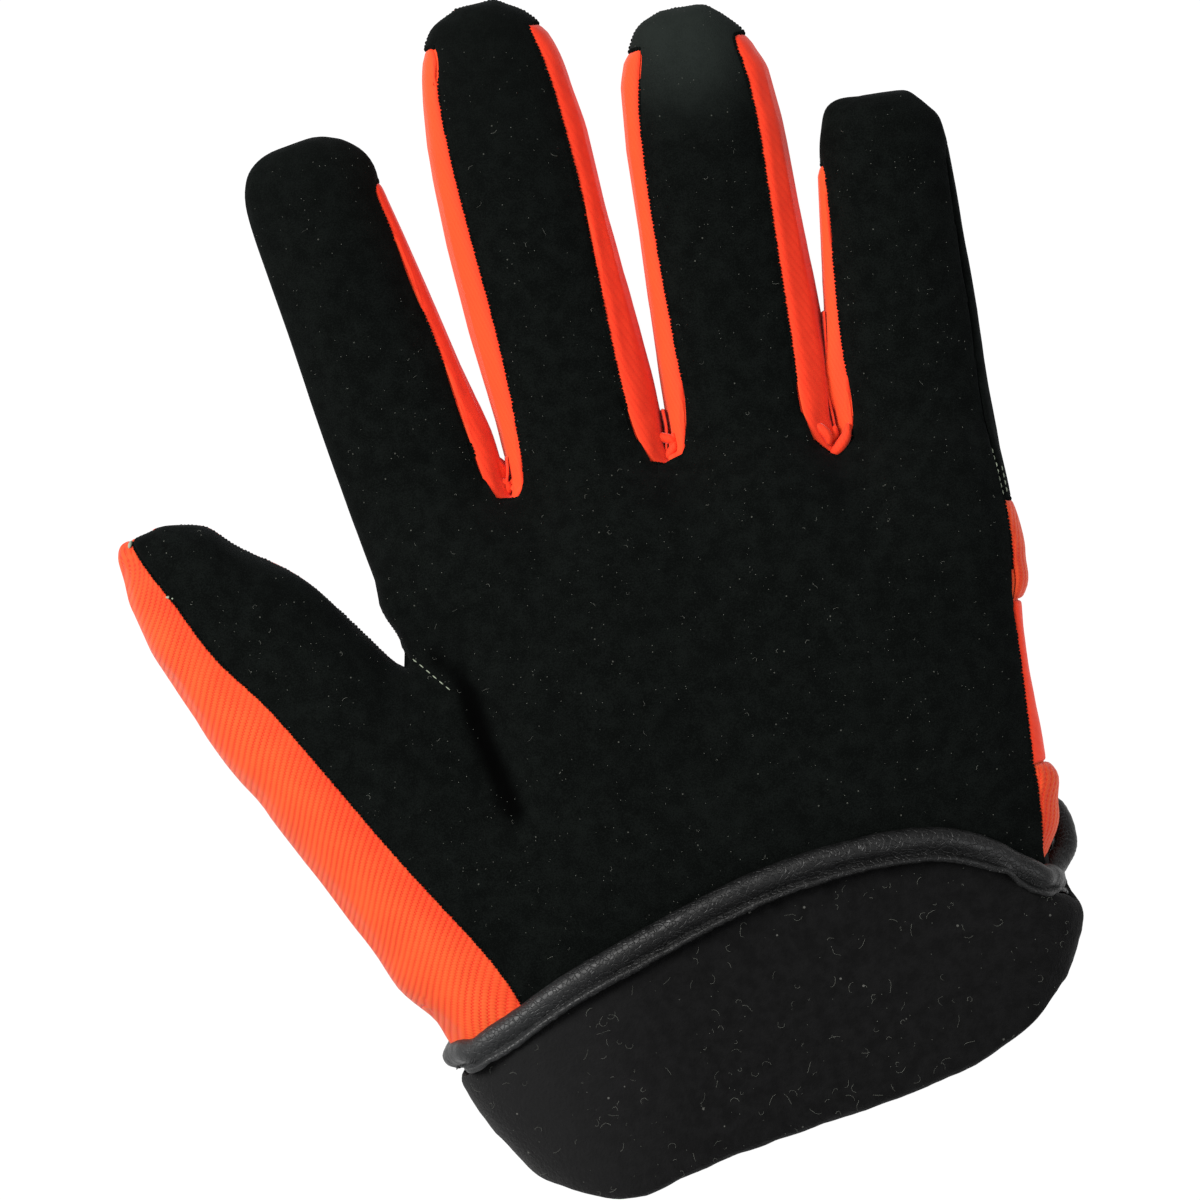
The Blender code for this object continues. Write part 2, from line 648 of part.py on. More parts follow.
def mouth_ring(rows, wrist):
    """The cuff row as one closed ring: over the palm, underneath, then round the thumb side."""
    top, under = rows[CUFF_ROW]
    return top[SIDE_STEPS:] + under[HAND_STEPS - 1 : SIDE_STEPS - 1 : -1] + wrist[OUTER_STEPS - 1 : 0 : -1]


def ring_panel(position):
    """The panel below the cuff row at a step of the mouth ring."""
    over_palm = HAND_STEPS - 2 * SIDE_STEPS
    if position < over_palm:
        return "palm_panel"
    if position < 2 * (HAND_STEPS - SIDE_STEPS):
        return "back_lower"
    return "thumb_back"


def wrist_rows(skin, ring):
    """Rows from the cuff row in to the narrower fold at the mouth."""
    start = np.array([skin.points[i] for i in ring])
    left, right = start[:, 0].min(), start[:, 0].max()
    shares = (start[:, 0] - left) / (right - left)
    over = start[:, 2] >= (start[:, 2].max() + UNDER_CUFF) / 2.0
    fold_across = column(FOLD_LINE, FOLD_COLUMNS, "across")
    fold_x = np.interp(shares, fold_across, column(FOLD_LINE, FOLD_COLUMNS, "x")) * MOUTH_WIDTH
    fold_y = -np.interp(shares, fold_across, column(FOLD_LINE, FOLD_COLUMNS, "drop")) * MOUTH_DROP
    rings = [ring]
    for travel, floor in zip(WRIST_SHARES, WRIST_FLOORS):
        belly = MOUTH_BELLY * math.sin(math.pi * min(travel, 1.0))
        x = start[:, 0] + (fold_x - start[:, 0]) * travel + belly * (2.0 * shares - 1.0)
        y = start[:, 1] + (fold_y - start[:, 1]) * travel
        bottom = floor * UNDER_CUFF
        centre = bottom + MOUTH_THICKNESS / 2.0
        bows = np.array([arch(share, FINGER_POWER) for share in shares])
        mouth_z = np.where(over, centre + MOUTH_THICKNESS / 2.0 * bows, centre - MOUTH_THICKNESS / 2.0 * bows)
        z = start[:, 2] + (mouth_z - start[:, 2]) * travel
        z = np.maximum(z, bottom)
        rings.append([skin.add(*point) for point in zip(x, y, z)])
    return rings


def wrist_faces(skin, rings):
    """Faces of the part of the shell that the turned cuff hides."""
    count = len(rings[0])
    for upper, lower in zip(rings, rings[1:]):
        for step in range(count):
            after = (step + 1) % count
            skin.face((upper[step], lower[step], lower[after], upper[after]), ring_panel(step))


def press_palm(skin, top_points):
    """Presses the palm's soft hollows into the skin."""
    for values in PALM_DENTS:
        dent = dict(zip(DENT_COLUMNS, values))
        turn = math.radians(dent["turn"])
        for index in top_points:
            x, y, z = skin.points[index]
            dx = x - dent["x"] * KNUCKLE_WIDTH
            dy = y - dent["y"] * PALM_LENGTH
            along = (-dx * math.sin(turn) + dy * math.cos(turn)) / (dent["half_length"] * PALM_LENGTH)
            across = (dx * math.cos(turn) + dy * math.sin(turn)) / (dent["half_width"] * KNUCKLE_WIDTH)
            fall = dent["depth"] * PALM_THICKNESS * math.exp(-(along**2) - across**2)
            skin.points[index] = (x, y, z - fall)


def build_skin():
    """The whole skin, its wrist rings from the cuff row to the fold, and the rows above them for the cuff."""
    skin = Skin()
    digits = fingers()
    for digit, centre in zip(digits, root_centres(digits)):
        add_finger(skin, digit, centre)
    pairs = list(zip(digits, digits[1:]))
    crotches = [crotch_column(skin, *pair) for pair in pairs]
    rows = hand_rows(skin, knuckle_row(digits, crotches))
    wrist = outer_wrist(skin, rows)
    thumb = thumb_rings(skin, thumb_root_ring(rows, wrist))
    rings = wrist_rows(skin, mouth_ring(rows, wrist))
    palm_points = {i for top, _ in rows for i in top if i is not None}
    palm_points |= {i for ring in thumb[1:] for i in ring[: SIDE_STEPS + THUMB_ROWS + 2]}
    press_palm(skin, sorted(palm_points))
    for digit in digits:
        finger_faces(skin, digit)
    for pair, middle in zip(pairs, crotches):
        crotch_faces(skin, *pair, middle)
    hand_faces(skin, rows)
    thumb_faces(skin, thumb)
    wrist_faces(skin, rings)
    return skin, rings, rows, thumb


def orient(skin):
    """Turns every face outwards, and gives the skin's point positions and normals."""
    sheet = bmesh.new()
    corners = [sheet.verts.new(point) for point in skin.points]
    made = [sheet.faces.new([corners[i] for i in face]) for face in skin.faces]
    bmesh.ops.recalc_face_normals(sheet, faces=made)
    sheet.verts.index_update()
    sheet.normal_update()
    skin.faces = [[vert.index for vert in face.verts] for face in made]
    places = np.array([vert.co for vert in sheet.verts])
    normals = np.array([vert.normal for vert in sheet.verts])
    sheet.free()
    return places, normals


def material(finish):
    """A plain finish, made once and shared by the pieces that have it."""
    name, colour, roughness = finish
    if name in bpy.data.materials:
        return bpy.data.materials[name]
    made = bpy.data.materials.new(name)
    made.use_nodes = True
    shader = made.node_tree.nodes["Principled BSDF"]
    shader.inputs["Base Color"].default_value = (*colour, 1.0)
    shader.inputs["Roughness"].default_value = roughness
    shader.inputs["Metallic"].default_value = 0.0
    return made


def add_object(name, sheet, finish, parent):
    """Puts a closed mesh into the scene as one named piece."""
    mesh = bpy.data.meshes.new(name)
    sheet.to_mesh(mesh)
    sheet.free()
    mesh.materials.append(material(finish))
    mesh.shade_smooth()
    mesh.set_sharp_from_angle(angle=math.radians(50.0))
    piece = bpy.data.objects.new(name, mesh)
    piece.parent = parent
    bpy.context.scene.collection.objects.link(piece)
    return piece


def panel_inset(faces, places, normals):
    """How each point on a panel's edge moves in along the skin, to leave half a seam gap."""
    directed = {}
    for face in faces:
        for a, b in zip(face, face[1:] + face[:1]):
            directed[(a, b)] = True
    shifts = {}
    for a, b in directed:
        if (b, a) in directed:
            continue
        edge = places[b] - places[a]
        for end in (a, b):
            inward = np.cross(normals[end], edge)
            shifts.setdefault(end, []).append(inward / max(np.linalg.norm(inward), 1e-9))
    moved = {}
    for index, directions in shifts.items():
        total = np.sum(directions, axis=0)
        length = np.linalg.norm(total)
        corner = max(length / len(directions), 0.5)
        moved[index] = total / max(length, 1e-9) * (SEAM_GAP / 2.0 / corner)
    rim = [(a, b) for a, b in directed if (b, a) not in directed]
    return moved, rim


def add_panel(skin, places, normals, spec, parent):
    """One panel: its faces of the skin, an inner face a wall's thickness below, and the edges between.

    An inner face starts at the same corner as its outer one, so that both bend along the same diagonal.
    """
    faces = [face for face, panel in zip(skin.faces, skin.panels) if panel == spec["name"]]
    moved, rim = panel_inset(faces, places, normals)
    sheet = bmesh.new()
    outer, inner = {}, {}
    for index in sorted({i for face in faces for i in face}):
        place = places[index] + moved.get(index, 0.0)
        place[2] = max(place[2], 0.0)
        outer[index] = sheet.verts.new(place)
        inner[index] = sheet.verts.new(place - normals[index] * spec["wall"])
    for face in faces:
        sheet.faces.new([outer[i] for i in face])
        sheet.faces.new([inner[i] for i in face[:1] + face[:0:-1]])
    for a, b in rim:
        sheet.faces.new((outer[b], outer[a], inner[a], inner[b]))
    return add_object(spec["name"], sheet, spec["finish"], parent)


class Lane:
    """One line up the skin from the fold, with the skin's normal along it."""

    def __init__(self, places, normals):
        self.places = places
        self.normals = normals
        steps = np.linalg.norm(np.diff(places, axis=0), axis=1)
        self.travel = np.concatenate([[0.0], np.cumsum(steps)])

    def between(self, values, distance):
        """Three values read from the lane's corners at a distance up from the fold."""
        return np.array([np.interp(distance, self.travel, values[:, axis]) for axis in range(3)])

    def at(self, distance, out):
        """The point a distance up from the fold, out along the normal. Below the fold it runs straight on."""
        place = self.between(self.places, distance)
        normal = self.between(self.normals, distance)
        normal /= np.linalg.norm(normal)
        if distance < 0.0:
            start = self.places[0] - self.places[1]
            place = place + start / np.linalg.norm(start) * -distance
        return place + normal * out

    def distance_to(self, height):
        """How far up the lane its height along the palm reaches this value."""
        return float(np.interp(height, self.places[:, 1], self.travel))


def cuff_lanes(rings, rows, thumb, places, normals):
    """A lane for each point of the mouth ring, up over the shell and past the cuff row."""
    upper_rows = []
    for row in (CUFF_ROW - 1, CUFF_ROW - 2):
        top, under = rows[row]
        upper_rows.append(top[SIDE_STEPS:] + under[HAND_STEPS - 1 : SIDE_STEPS - 1 : -1])
    count = len(rings[0])
    lanes = []
    for step in range(count):
        indices = [ring[step] for ring in reversed(rings)]
        if step < len(upper_rows[0]):
            indices += [row[step] for row in upper_rows]
        else:
            around = SIDE_STEPS + THUMB_ROWS + (count - step)
            indices += [thumb[1][around], thumb[2][around]]
        lanes.append(Lane(places[indices], normals[indices]))
    return lanes


def rim_distances(lanes):
    """How far up each lane the binding's middle runs."""
    start = np.array([lane.places[-3] for lane in lanes])
    steps = np.linalg.norm(np.roll(start, -1, axis=0) - start, axis=1)
    around = np.concatenate([[0.0], np.cumsum(steps)[:-1]])
    left, right = int(start[:, 0].argmin()), int(start[:, 0].argmax())
    round_trip = steps.sum()
    over_length = (around[right] - around[left]) % round_trip
    distances = []
    for step, lane in enumerate(lanes):
        share = (around[step] - around[left]) % round_trip / over_length
        table = RIM_OVER_PALM
        if share > 1.0:
            share = 1.0 - (share - 1.0) * over_length / (round_trip - over_length)
            table = RIM_OVER_BACK
        known = column(table, RIM_COLUMNS, "around")
        height = np.interp(share, known, column(table, RIM_COLUMNS, "height")) * PALM_LENGTH
        distances.append(lane.distance_to(height))
    return distances


def loft_ring(name, loops, finish, parent):
    """A closed piece through like sections set round a ring.

    Its faces bend along the same diagonal as the shell's: from the higher point here to the lower one beyond.
    """
    sheet = bmesh.new()
    corners = [[sheet.verts.new(point) for point in loop] for loop in loops]
    count, size = len(corners), len(corners[0])
    for ring in range(count):
        here, there = corners[ring], corners[(ring + 1) % count]
        for step in range(size):
            after = (step + 1) % size
            if here[after].co.y > here[step].co.y:
                sheet.faces.new((here[after], there[after], there[step], here[step]))
            else:
                sheet.faces.new((here[step], here[after], there[after], there[step]))
    bmesh.ops.recalc_face_normals(sheet, faces=sheet.faces)
    return add_object(name, sheet, finish, parent)


def outer_stations(lane, top):
    """Distances up the outside from the fold to the lining's edge: the lane's corners, and steps between."""
    stations = [float(travel) for travel in lane.travel if travel < top - LINING_WALL] + [top]
    while len(stations) < OUTSIDE_STATIONS:
        steps = np.diff(stations)
        longest = int(steps.argmax())
        stations.insert(longest + 1, stations[longest] + float(steps[longest]) / 2.0)
    return stations


def lining_section(lane, rim):
    """Section of the lining: up the inside of the shell, round the fold, and up outside to the binding."""
    outer_in, outer_out = TURNED_GAP, TURNED_GAP + LINING_WALL
    inner_out = -BACK_WALL - LINING_GAP
    inner_in = inner_out - LINING_WALL
    hem = (outer_in + inner_out) / 2.0
    top = rim - ROLL_DIAMETER / 2.0 - LINING_GAP
    outside = outer_stations(lane, top)[::-1]
    inside = list(lane.travel[: WRIST_ROWS + 2])
    stations = [(distance, outer_out) for distance in outside]
    stations += [
        (-LINING_WALL * 0.85, outer_in + LINING_WALL * 0.45),
        (-LINING_WALL - LINING_GAP, hem),
        (-LINING_WALL * 0.85, inner_out - LINING_WALL * 0.45),
    ]
    stations += [(distance, inner_in) for distance in inside]
    stations += [(distance, inner_out) for distance in reversed(inside)]
    stations += [(-LINING_GAP, hem)]
    stations += [(distance, outer_in) for distance in reversed(outside)]
    return [lane.at(distance, out) for distance, out in stations]


def binding_section(lane, rim):
    """Section of the binding: a round roll on the shell, with its stitched flange over the lining's edge."""
    radius = ROLL_DIAMETER / 2.0
    centre = LINING_GAP + radius
    flange_in = TURNED_GAP + LINING_WALL + LINING_GAP
    flange_out = flange_in + FLANGE_WALL
    flange_end = rim - radius - FLANGE_WIDTH
    stations = []
    for turn in (-150.0, -105.0, -60.0, -15.0, 30.0, 75.0, 120.0):
        angle = math.radians(turn)
        stations.append((rim + radius * math.cos(angle), centre + radius * math.sin(angle)))
    stations += [(rim - radius, flange_out), (flange_end, flange_out), (flange_end, flange_in)]
    stations += [(rim - radius + LINING_GAP * 0.5, flange_in)]
    return [lane.at(distance, out) for distance, out in stations]


def clear_scene():
    for piece in list(bpy.data.objects):
        bpy.data.objects.remove(piece, do_unlink=True)


def stand_on_origin(root, pieces):
    """Moves the glove so that the middle of its footprint is the origin and it rests at height 0."""
    corners = np.array([vert.co for piece in pieces for vert in piece.data.vertices])
    low, high = corners.min(axis=0), corners.max(axis=0)
    root.location = (-(low[0] + high[0]) / 2.0, -(low[1] + high[1]) / 2.0, -low[2])


def main():
    clear_scene()
    root = bpy.data.objects.new("glove", None)
    bpy.context.scene.collection.objects.link(root)
    skin, rings, rows, thumb = build_skin()
    places, normals = orient(skin)
    pieces = []
    for values in PANELS:
        pieces.append(add_panel(skin, places, normals, dict(zip(PANEL_COLUMNS, values)), root))
    lanes = cuff_lanes(rings, rows, thumb, places, normals)
    rims = rim_distances(lanes)
    lining = [lining_section(lane, rim) for lane, rim in zip(lanes, rims)]
    binding = [binding_section(lane, rim) for lane, rim in zip(lanes, rims)]
    pieces.append(loft_ring("cuff_lining", lining, BLACK_FLEECE, root))
    pieces.append(loft_ring("cuff_binding", binding, BLACK_BINDING, root))
    stand_on_origin(root, pieces)


main()
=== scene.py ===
"""The looks of a left-hand driver's work glove, lying palm up with its fleece cuff turned back.

Each cloth panel starts from the outside of its own node: that sheet is subdivided, softened, dipped
along its seams and given a wall again. Sewing, lint and trim are made round it from the same seams.
Sizes are in metres, in the frame's own axes: +Y to the fingertips, +Z out of the palm.
"""

import functools
import math
import random

import bmesh
import bpy
import numpy as np
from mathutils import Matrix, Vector, noise
from mathutils.bvhtree import BVHTree
from mathutils.kdtree import KDTree


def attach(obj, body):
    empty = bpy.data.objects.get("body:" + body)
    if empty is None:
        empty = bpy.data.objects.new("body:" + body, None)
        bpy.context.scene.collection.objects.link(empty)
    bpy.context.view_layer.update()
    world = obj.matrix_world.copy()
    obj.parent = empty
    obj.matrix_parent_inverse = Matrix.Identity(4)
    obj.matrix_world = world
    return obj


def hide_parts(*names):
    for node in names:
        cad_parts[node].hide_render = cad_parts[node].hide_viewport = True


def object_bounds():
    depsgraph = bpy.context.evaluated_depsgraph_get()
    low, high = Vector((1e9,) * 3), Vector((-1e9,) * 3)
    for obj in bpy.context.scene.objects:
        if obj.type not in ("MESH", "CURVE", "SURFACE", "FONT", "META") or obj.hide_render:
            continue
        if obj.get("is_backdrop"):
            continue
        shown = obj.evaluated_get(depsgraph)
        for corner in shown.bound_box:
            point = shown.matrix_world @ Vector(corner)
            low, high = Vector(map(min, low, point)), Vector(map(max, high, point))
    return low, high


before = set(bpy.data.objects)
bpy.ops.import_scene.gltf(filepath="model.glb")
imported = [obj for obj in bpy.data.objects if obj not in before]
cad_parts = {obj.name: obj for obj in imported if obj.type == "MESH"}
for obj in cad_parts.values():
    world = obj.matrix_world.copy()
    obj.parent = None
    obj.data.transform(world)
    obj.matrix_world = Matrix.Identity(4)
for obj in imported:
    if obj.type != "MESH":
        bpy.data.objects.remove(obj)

bl_info = {
    "name": "Driver glove",
    "version": (1, 0, 0),
    "blender": (4, 5, 0),
    "location": "View3D > Sidebar > Glove",
    "description": "Dresses the frame of a work glove in suede, stretch cloth, fleece and binding",
    "category": "Object",
}

CAD_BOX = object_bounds()
MM = 0.001
WELD = 0.002 * MM

# How far a point of a panel may be moved out before it is subdivided, which would pull it in, and in how many
# rounds
MOST_SHIFT = 0.8 * MM
SHIFT_ROUNDS = 3

# Edges of a finished piece that turn more than this stay sharp
SHARP = math.radians(60.0)

# A height above the whole glove
OVERHEAD = 100.0 * MM

# The point on the wrist that the tables of places are measured from
WRIST = Vector((14.28 * MM, -80.31 * MM, 0.0))

# Border lines of the sewn sheets, by node, kept for the sewing
SEAMS = {}

# Middle lines of the hand and its digits, in millimetres from the wrist: they tell a panel's outside from its
# inside
MIDDLE_HEIGHT = 15.0 * MM
MIDDLE_LINES = (
    ((-40.0, 100.0), (-50.0, 170.0)),
    ((-10.0, 100.0), (-11.0, 185.0)),
    ((25.0, 100.0), (28.0, 175.0)),
    ((55.0, 95.0), (59.0, 150.0)),
    ((-50.0, 40.0), (-86.0, 96.0)),
    ((-35.0, -15.0), (-40.0, 100.0)),
    ((10.0, -12.0), (-10.0, 100.0)),
    ((20.0, -12.0), (25.0, 100.0)),
    ((45.0, -8.0), (55.0, 95.0)),
    ((-60.0, 70.0), (-52.0, 55.0)),
)

# Where the outline is drawn in or out: the nodes it is for, or none for all; its place and way in millimetres
# from the wrist, and reach
OUTLINE_PULLS = (
    ((), (-90.8, 80.0), (-2.3, -0.9), 17.0),
    ((), (-95.3, 89.5), (-0.9, -0.4), 10.0),
    ((), (-86.5, 65.6), (-1.3, -0.6), 12.0),
    ((), (-97.6, 102.4), (1.0, 0.3), 6.0),
    ((), (-95.6, 108.6), (-0.5, 0.7), 5.0),
    ((), (-66.0, 93.0), (0.35, 0.4), 14.0),
    ((), (-85.3, 112.0), (-0.2, -2.1), 9.0),
    ((), (-50.5, 77.5), (0.3, -1.4), 9.0),
    ((), (-50.0, 86.5), (-1.0, -0.2), 6.0),
    ((), (-57.7, 5.0), (-0.7, -0.3), 6.0),
    ((), (-64.6, 17.0), (-0.8, -0.4), 9.0),
    ((), (-20.0, -28.0), (0.0, 1.0), 30.0),
    ((), (-55.9, 173.5), (0.1, -0.2), 5.0),
    ((), (-41.5, 174.0), (-0.1, -0.4), 5.0),
    ((), (-35.6, 166.9), (0.9, 0.4), 7.0),
    ((), (-18.5, 187.7), (-0.9, 0.9), 6.0),
    ((), (-1.4, 187.5), (0.3, 0.4), 5.0),
    ((), (18.8, 180.0), (-0.9, 0.9), 6.0),
    ((), (40.0, 173.2), (-0.6, -0.4), 6.0),
    ((), (49.9, 158.6), (-0.8, 0.6), 6.0),
    ((), (67.3, 155.5), (-0.5, -0.6), 5.0),
    ((), (68.0, 117.3), (0.4, 0.1), 22.0),
    (("back_upper",), (65.3, 64.8), (0.8, -0.3), 5.0),
    (("back_lower",), (60.8, 10.5), (-3.2, 0.4), 11.0),
    (("cuff_lining",), (63.0, 8.0), (-1.8, 0.6), 6.0),
    (("back_lower",), (61.6, 28.0), (1.3, 0.3), 5.0),
    (("cuff_binding",), (60.5, 21.0), (3.2, 1.0), 9.0),
    (("cuff_binding",), (59.0, 24.0), (1.8, 1.2), 7.0),
    (("cuff_binding",), (62.0, 7.0), (-4.4, 2.4), 9.0),
    (("cuff_binding",), (-58.0, -1.0), (1.2, 2.8), 8.0),
)

# Where along the fingers the suede's painted grey sheen starts and is full, in millimetres from the wrist
SHEEN_SPAN = (140.0, 190.0)

# Turn of the ribs in plan, and of the strips' twill
RIB_TURN = math.radians(16.0)
TWILL_TURN = math.radians(-17.0)

# A line down the thumb where its ribs lean by this much more, and how fast they lean over towards its seam
THUMB_MIDDLE = ((-92.0, 100.0), (-84.0, 72.0), (-60.0, 18.0))
THUMB_LEAN = 0.12
LEAN = 15.0

# Painted light and shade on the palm, in millimetres from the wrist: line, amount and reach. Below zero is
# painted shade in the crease that runs down from the thumb's web; above zero is painted sheen at the ring
# fingertip.
PALM_PAINTED_LIGHT = (
    (((-44.5, 75.0), (-41.0, 71.5)), -0.7, 4.0),
    (((-39.8, 67.5), (-39.0, 58.0), (-37.4, 50.0), (-36.6, 44.0)), -1.0, 4.4),
    (((27.5, 192.0), (27.0, 179.0)), 1.0, 27.0),
)

# A shell's cut edge: how far along the wall its struts may lean, how exactly they are as long as the wall is
# thick, and within how many walls the other side of the shell lies
STRUT_LEAN = 0.34 * MM
STRUT_SLACK = 0.01 * MM
OTHER_SIDE = 1.25

# How far the strips between the fingers stand out, and other panels may, and the share of a wall that the
# cloth itself takes
STRIP_SWELL = 0.45 * MM
PANEL_SWELL = 0.2 * MM
FACE_SHARE = 0.6

# How near a gap's end the strips are drawn together, over which shares of its line the pull grows and fades,
# and how far in from a strip's border the swell and the pull are full
GAP_REACH = 3.2 * MM
GAP_GROWS = 0.3
GAP_FADES = 0.1
SWELL_MARGIN = 2.0 * MM
PULL_MARGIN = 2.2 * MM

# Rings of faces added along a panel's border, by their distance from it
BORDER_RINGS = (0.5 * MM, 0.2 * MM)

# The cloth's unevenness: size of its broad and of its small lumps, the small ones' share of its height, and
# how far in from the border it is full; then the fleece's tufts, broad and small
BROAD_LUMPS = 11.0 * MM
SMALL_LUMPS = 4.0 * MM
SMALL_SHARE = 0.4
LUMP_MARGIN = 4.0 * MM
BROAD_TUFTS = 6.0 * MM
SMALL_TUFTS = 2.0 * MM

# How far from a seam the ribbed cloth has painted shade, where it curls down into the seam, and how closely
# seams are walked for that and for puckers
SEAM_SHADE = 7.0 * MM
SHADE_STEP = 0.5 * MM
SEAM_STEP = 0.3 * MM

# The binding: radius of its roll and how far it reaches round to each side in degrees, its flange's section
# from the roll's middle in millimetres (towards the fingers, and out), the flange's edge in its node, how often
# its line is smoothed, the sections round the cuff, and the points round the roll in each
ROLL_RADIUS = 2.2 * MM
ROLL_ARC = 150.0
FLANGE_SECTION = (
    (-2.2, 0.0), (-3.2, 0.1), (-4.0, 0.2), (-4.3, 0.6), (-4.1, 1.05), (-3.75, 1.3), (-3.35, 1.2),
    (-2.95, 0.75), (-2.45, 0.45),
)
FLANGE_EDGE = 0.4 * MM
SMOOTH_ROUNDS = 12
SECTIONS = 420
ROLL_POINTS = 22

# How much of the flange is tucked away where the cuff turns under, at its right and left, and how suddenly
RIGHT_TUCK = 0.45
LEFT_TUCK = 0.9
TUCK_POWER = 20

# The binding's stitches, pitch and height; and its fine grain, broad grain and wrinkles, height and how close
STITCH_PITCH = 2.2 * MM
STITCH_HEIGHT = 0.12 * MM
FINE_GRAIN = (0.10 * MM, 700.0)
BROAD_GRAIN = (0.12 * MM, 160.0)
WRINKLES = (0.05 * MM, 1100.0)

# Soft creases and ridges of the palm, in millimetres from the wrist: line, height and reach to each side
PALM_FOLDS = (
    (((-40.0, 67.0), (-39.5, 58.5), (-38.0, 49.5), (-36.0, 42.5)), -0.9, 3.4),
    (((63.5, 96.0), (64.0, 86.0), (63.5, 77.0)), 0.5, 1.6),
)

# Where the strips of two fingers meet and the gap between them ends: line in millimetres from the wrist. The
# cloth that closes it is a thin upright sheet.
GUSSETS = (
    ((-23.0, 108.5), (-23.6, 105.5), (-24.8, 102.6)),
    ((7.0, 110.5), (6.9, 107.0), (6.0, 103.2), (5.2, 101.0)),
    ((40.2, 121.5), (39.0, 114.5), (37.6, 107.3), (37.4, 101.5), (37.2, 98.5), (36.6, 95.5)),
)

SHEET_MIDDLE = 8.5 * MM
SHEET_HALF_WALL = 0.5 * MM
SHEET_TALL = 12.0

# Rolls of cloth at the ends of the gaps: line in millimetres from the wrist, half width, and lift
CROTCH_ROLLS = (
    (((-25.6, 104.6), (-24.6, 103.9), (-24.2, 102.6), (-24.9, 101.9)), 0.9, 0.0),
    (((3.2, 106.4), (5.4, 105.7), (7.3, 104.6), (7.0, 103.4)), 0.95, 0.0),
    (((7.9, 105.8), (7.4, 103.2), (6.0, 102.0), (5.0, 101.2)), 0.95, 0.0),
    (((33.4, 101.8), (34.6, 100.6), (35.6, 98.9), (35.5, 97.3)), 1.0, 0.0),
    (((37.4, 100.4), (36.7, 98.4), (35.6, 96.8)), 0.9, 0.0),
    (((39.8, 100.2), (39.0, 98.2), (37.5, 96.6), (35.9, 95.6), (34.4, 95.9)), 1.15, 0.5),
)
ROLL_TAPER = 0.12
ROLL_TALL = 0.9

# Small bodies: a lump's rows and sides, and how far a strand's ends stick out for their half width
LUMP_ROWS = 4
LUMP_SIDES = 8
ROUND_END = 0.6

# Panels of each cloth, for the sewing between them
BLACK_PANELS = ("palm_panel", "knuckle_panel")
STRIPS = ("fork_index_middle", "fork_middle_ring", "fork_ring_pinky", "stretch_band")
RIBBED = ("thumb_back", "back_middle", "back_ring", "back_upper", "back_lower")

# Tapes in the seams: pitch of their points, how many a border needs to get one, and how deep they lie
TAPE_PITCH = 1.0 * MM
TAPE_POINTS = 9
TAPE_SINK = 0.85 * MM

# Puckers in the seams: their pitch, the widest seam that gets them, how far across it they sit, and how much
# and how closely their size varies
PUCKER_PITCH = 0.68 * MM
WIDEST_SEAM = 1.6 * MM
PUCKER_PLACE = 0.4
PUCKER_VARIES = (0.25, 900.0)

# Pale stitches: from, to, how many, how long each one is, and half its width, in millimetres
STITCH_ROWS = (
    ((-48.5, 76.2), (-42.7, 68.6), 6, 0.9, 0.10),
    ((64.6, 90.0), (64.8, 79.5), 8, 0.8, 0.12),
    ((65.6, 86.5), (65.4, 78.5), 6, 0.8, 0.12),
    ((-94.9, 107.4), (-94.0, 109.0), 1, 1.2, 0.36),
    ((-90.1, 97.3), (-88.7, 96.7), 1, 1.3, 0.28),
)

# A stitch's points: place along it and width as shares of its own; and how high its middle is for its width, and
# how fast it falls to its ends
STITCH_POINTS = ((-0.5, 0.6), (-0.25, 1.0), (0.0, 1.0), (0.25, 1.0), (0.5, 0.6))
STITCH_ARCH = (0.7, 2.0)

# Lint: where it may fall in millimetres from the wrist, the lowest place for it, the pieces it lies on, each
# with its share of specks and its hairs' length in millimetres; a speck's size in millimetres; and a hair's
# points, half width, curl, wander, and lift in millimetres, at first and more at each point
LINT_ACROSS = (-95.0, 65.0)
LINT_ALONG = (-30.0, 185.0)
LINT_FLOOR = 8.0 * MM
LINT_ON = {"palm_suede": (0.94, (0.6, 1.4)), "fleece_cuff": (0.45, (0.6, 2.6))}
SPECK_SIZE = (0.035, 0.075)
HAIR_POINTS = 8
HAIR_HALF_WIDTH = 0.018 * MM
HAIR_CURL = (-0.6, 0.6)
HAIR_WANDER = (-0.3, 0.3)
HAIR_LIFT = (0.05, 0.02)

# Lights that face the glove: name, place, width, power and colour; then the room's own light
LIGHTS = (
    ("key", (-0.7, 0.5, 0.9), 0.7, 28.0, (1.0, 0.99, 0.97)),
    ("fill", (0.8, -0.4, 0.9), 1.0, 8.0, (0.97, 0.98, 1.0)),
)
ROOM_LIGHT = 0.42

# The middle of the picture in millimetres from the wrist, the glove's middle height, and the camera's sensor
# in millimetres
PICTURE_MIDDLE = (-12.2, 78.8)
GLOVE_MIDDLE = 12.0 * MM
SENSOR = 36.0


def on_glove(x, y, z=0.0):
    """A place given in millimetres from the wrist, in the frame."""
    return WRIST + Vector((x, y, z)) * MM


def length(text, value, low=0.0, high=0.1):
    """A length property with its description."""
    return bpy.props.FloatProperty(
        name=text.split(",")[0], description=text, default=value,
        min=low, max=high, unit="LENGTH", precision=5,
    )


def colour(text, value):
    """A colour property with its description."""
    return bpy.props.FloatVectorProperty(
        name=text.split(",")[0], description=text, default=value,
        size=3, min=0.0, max=1.0, subtype="COLOR",
    )


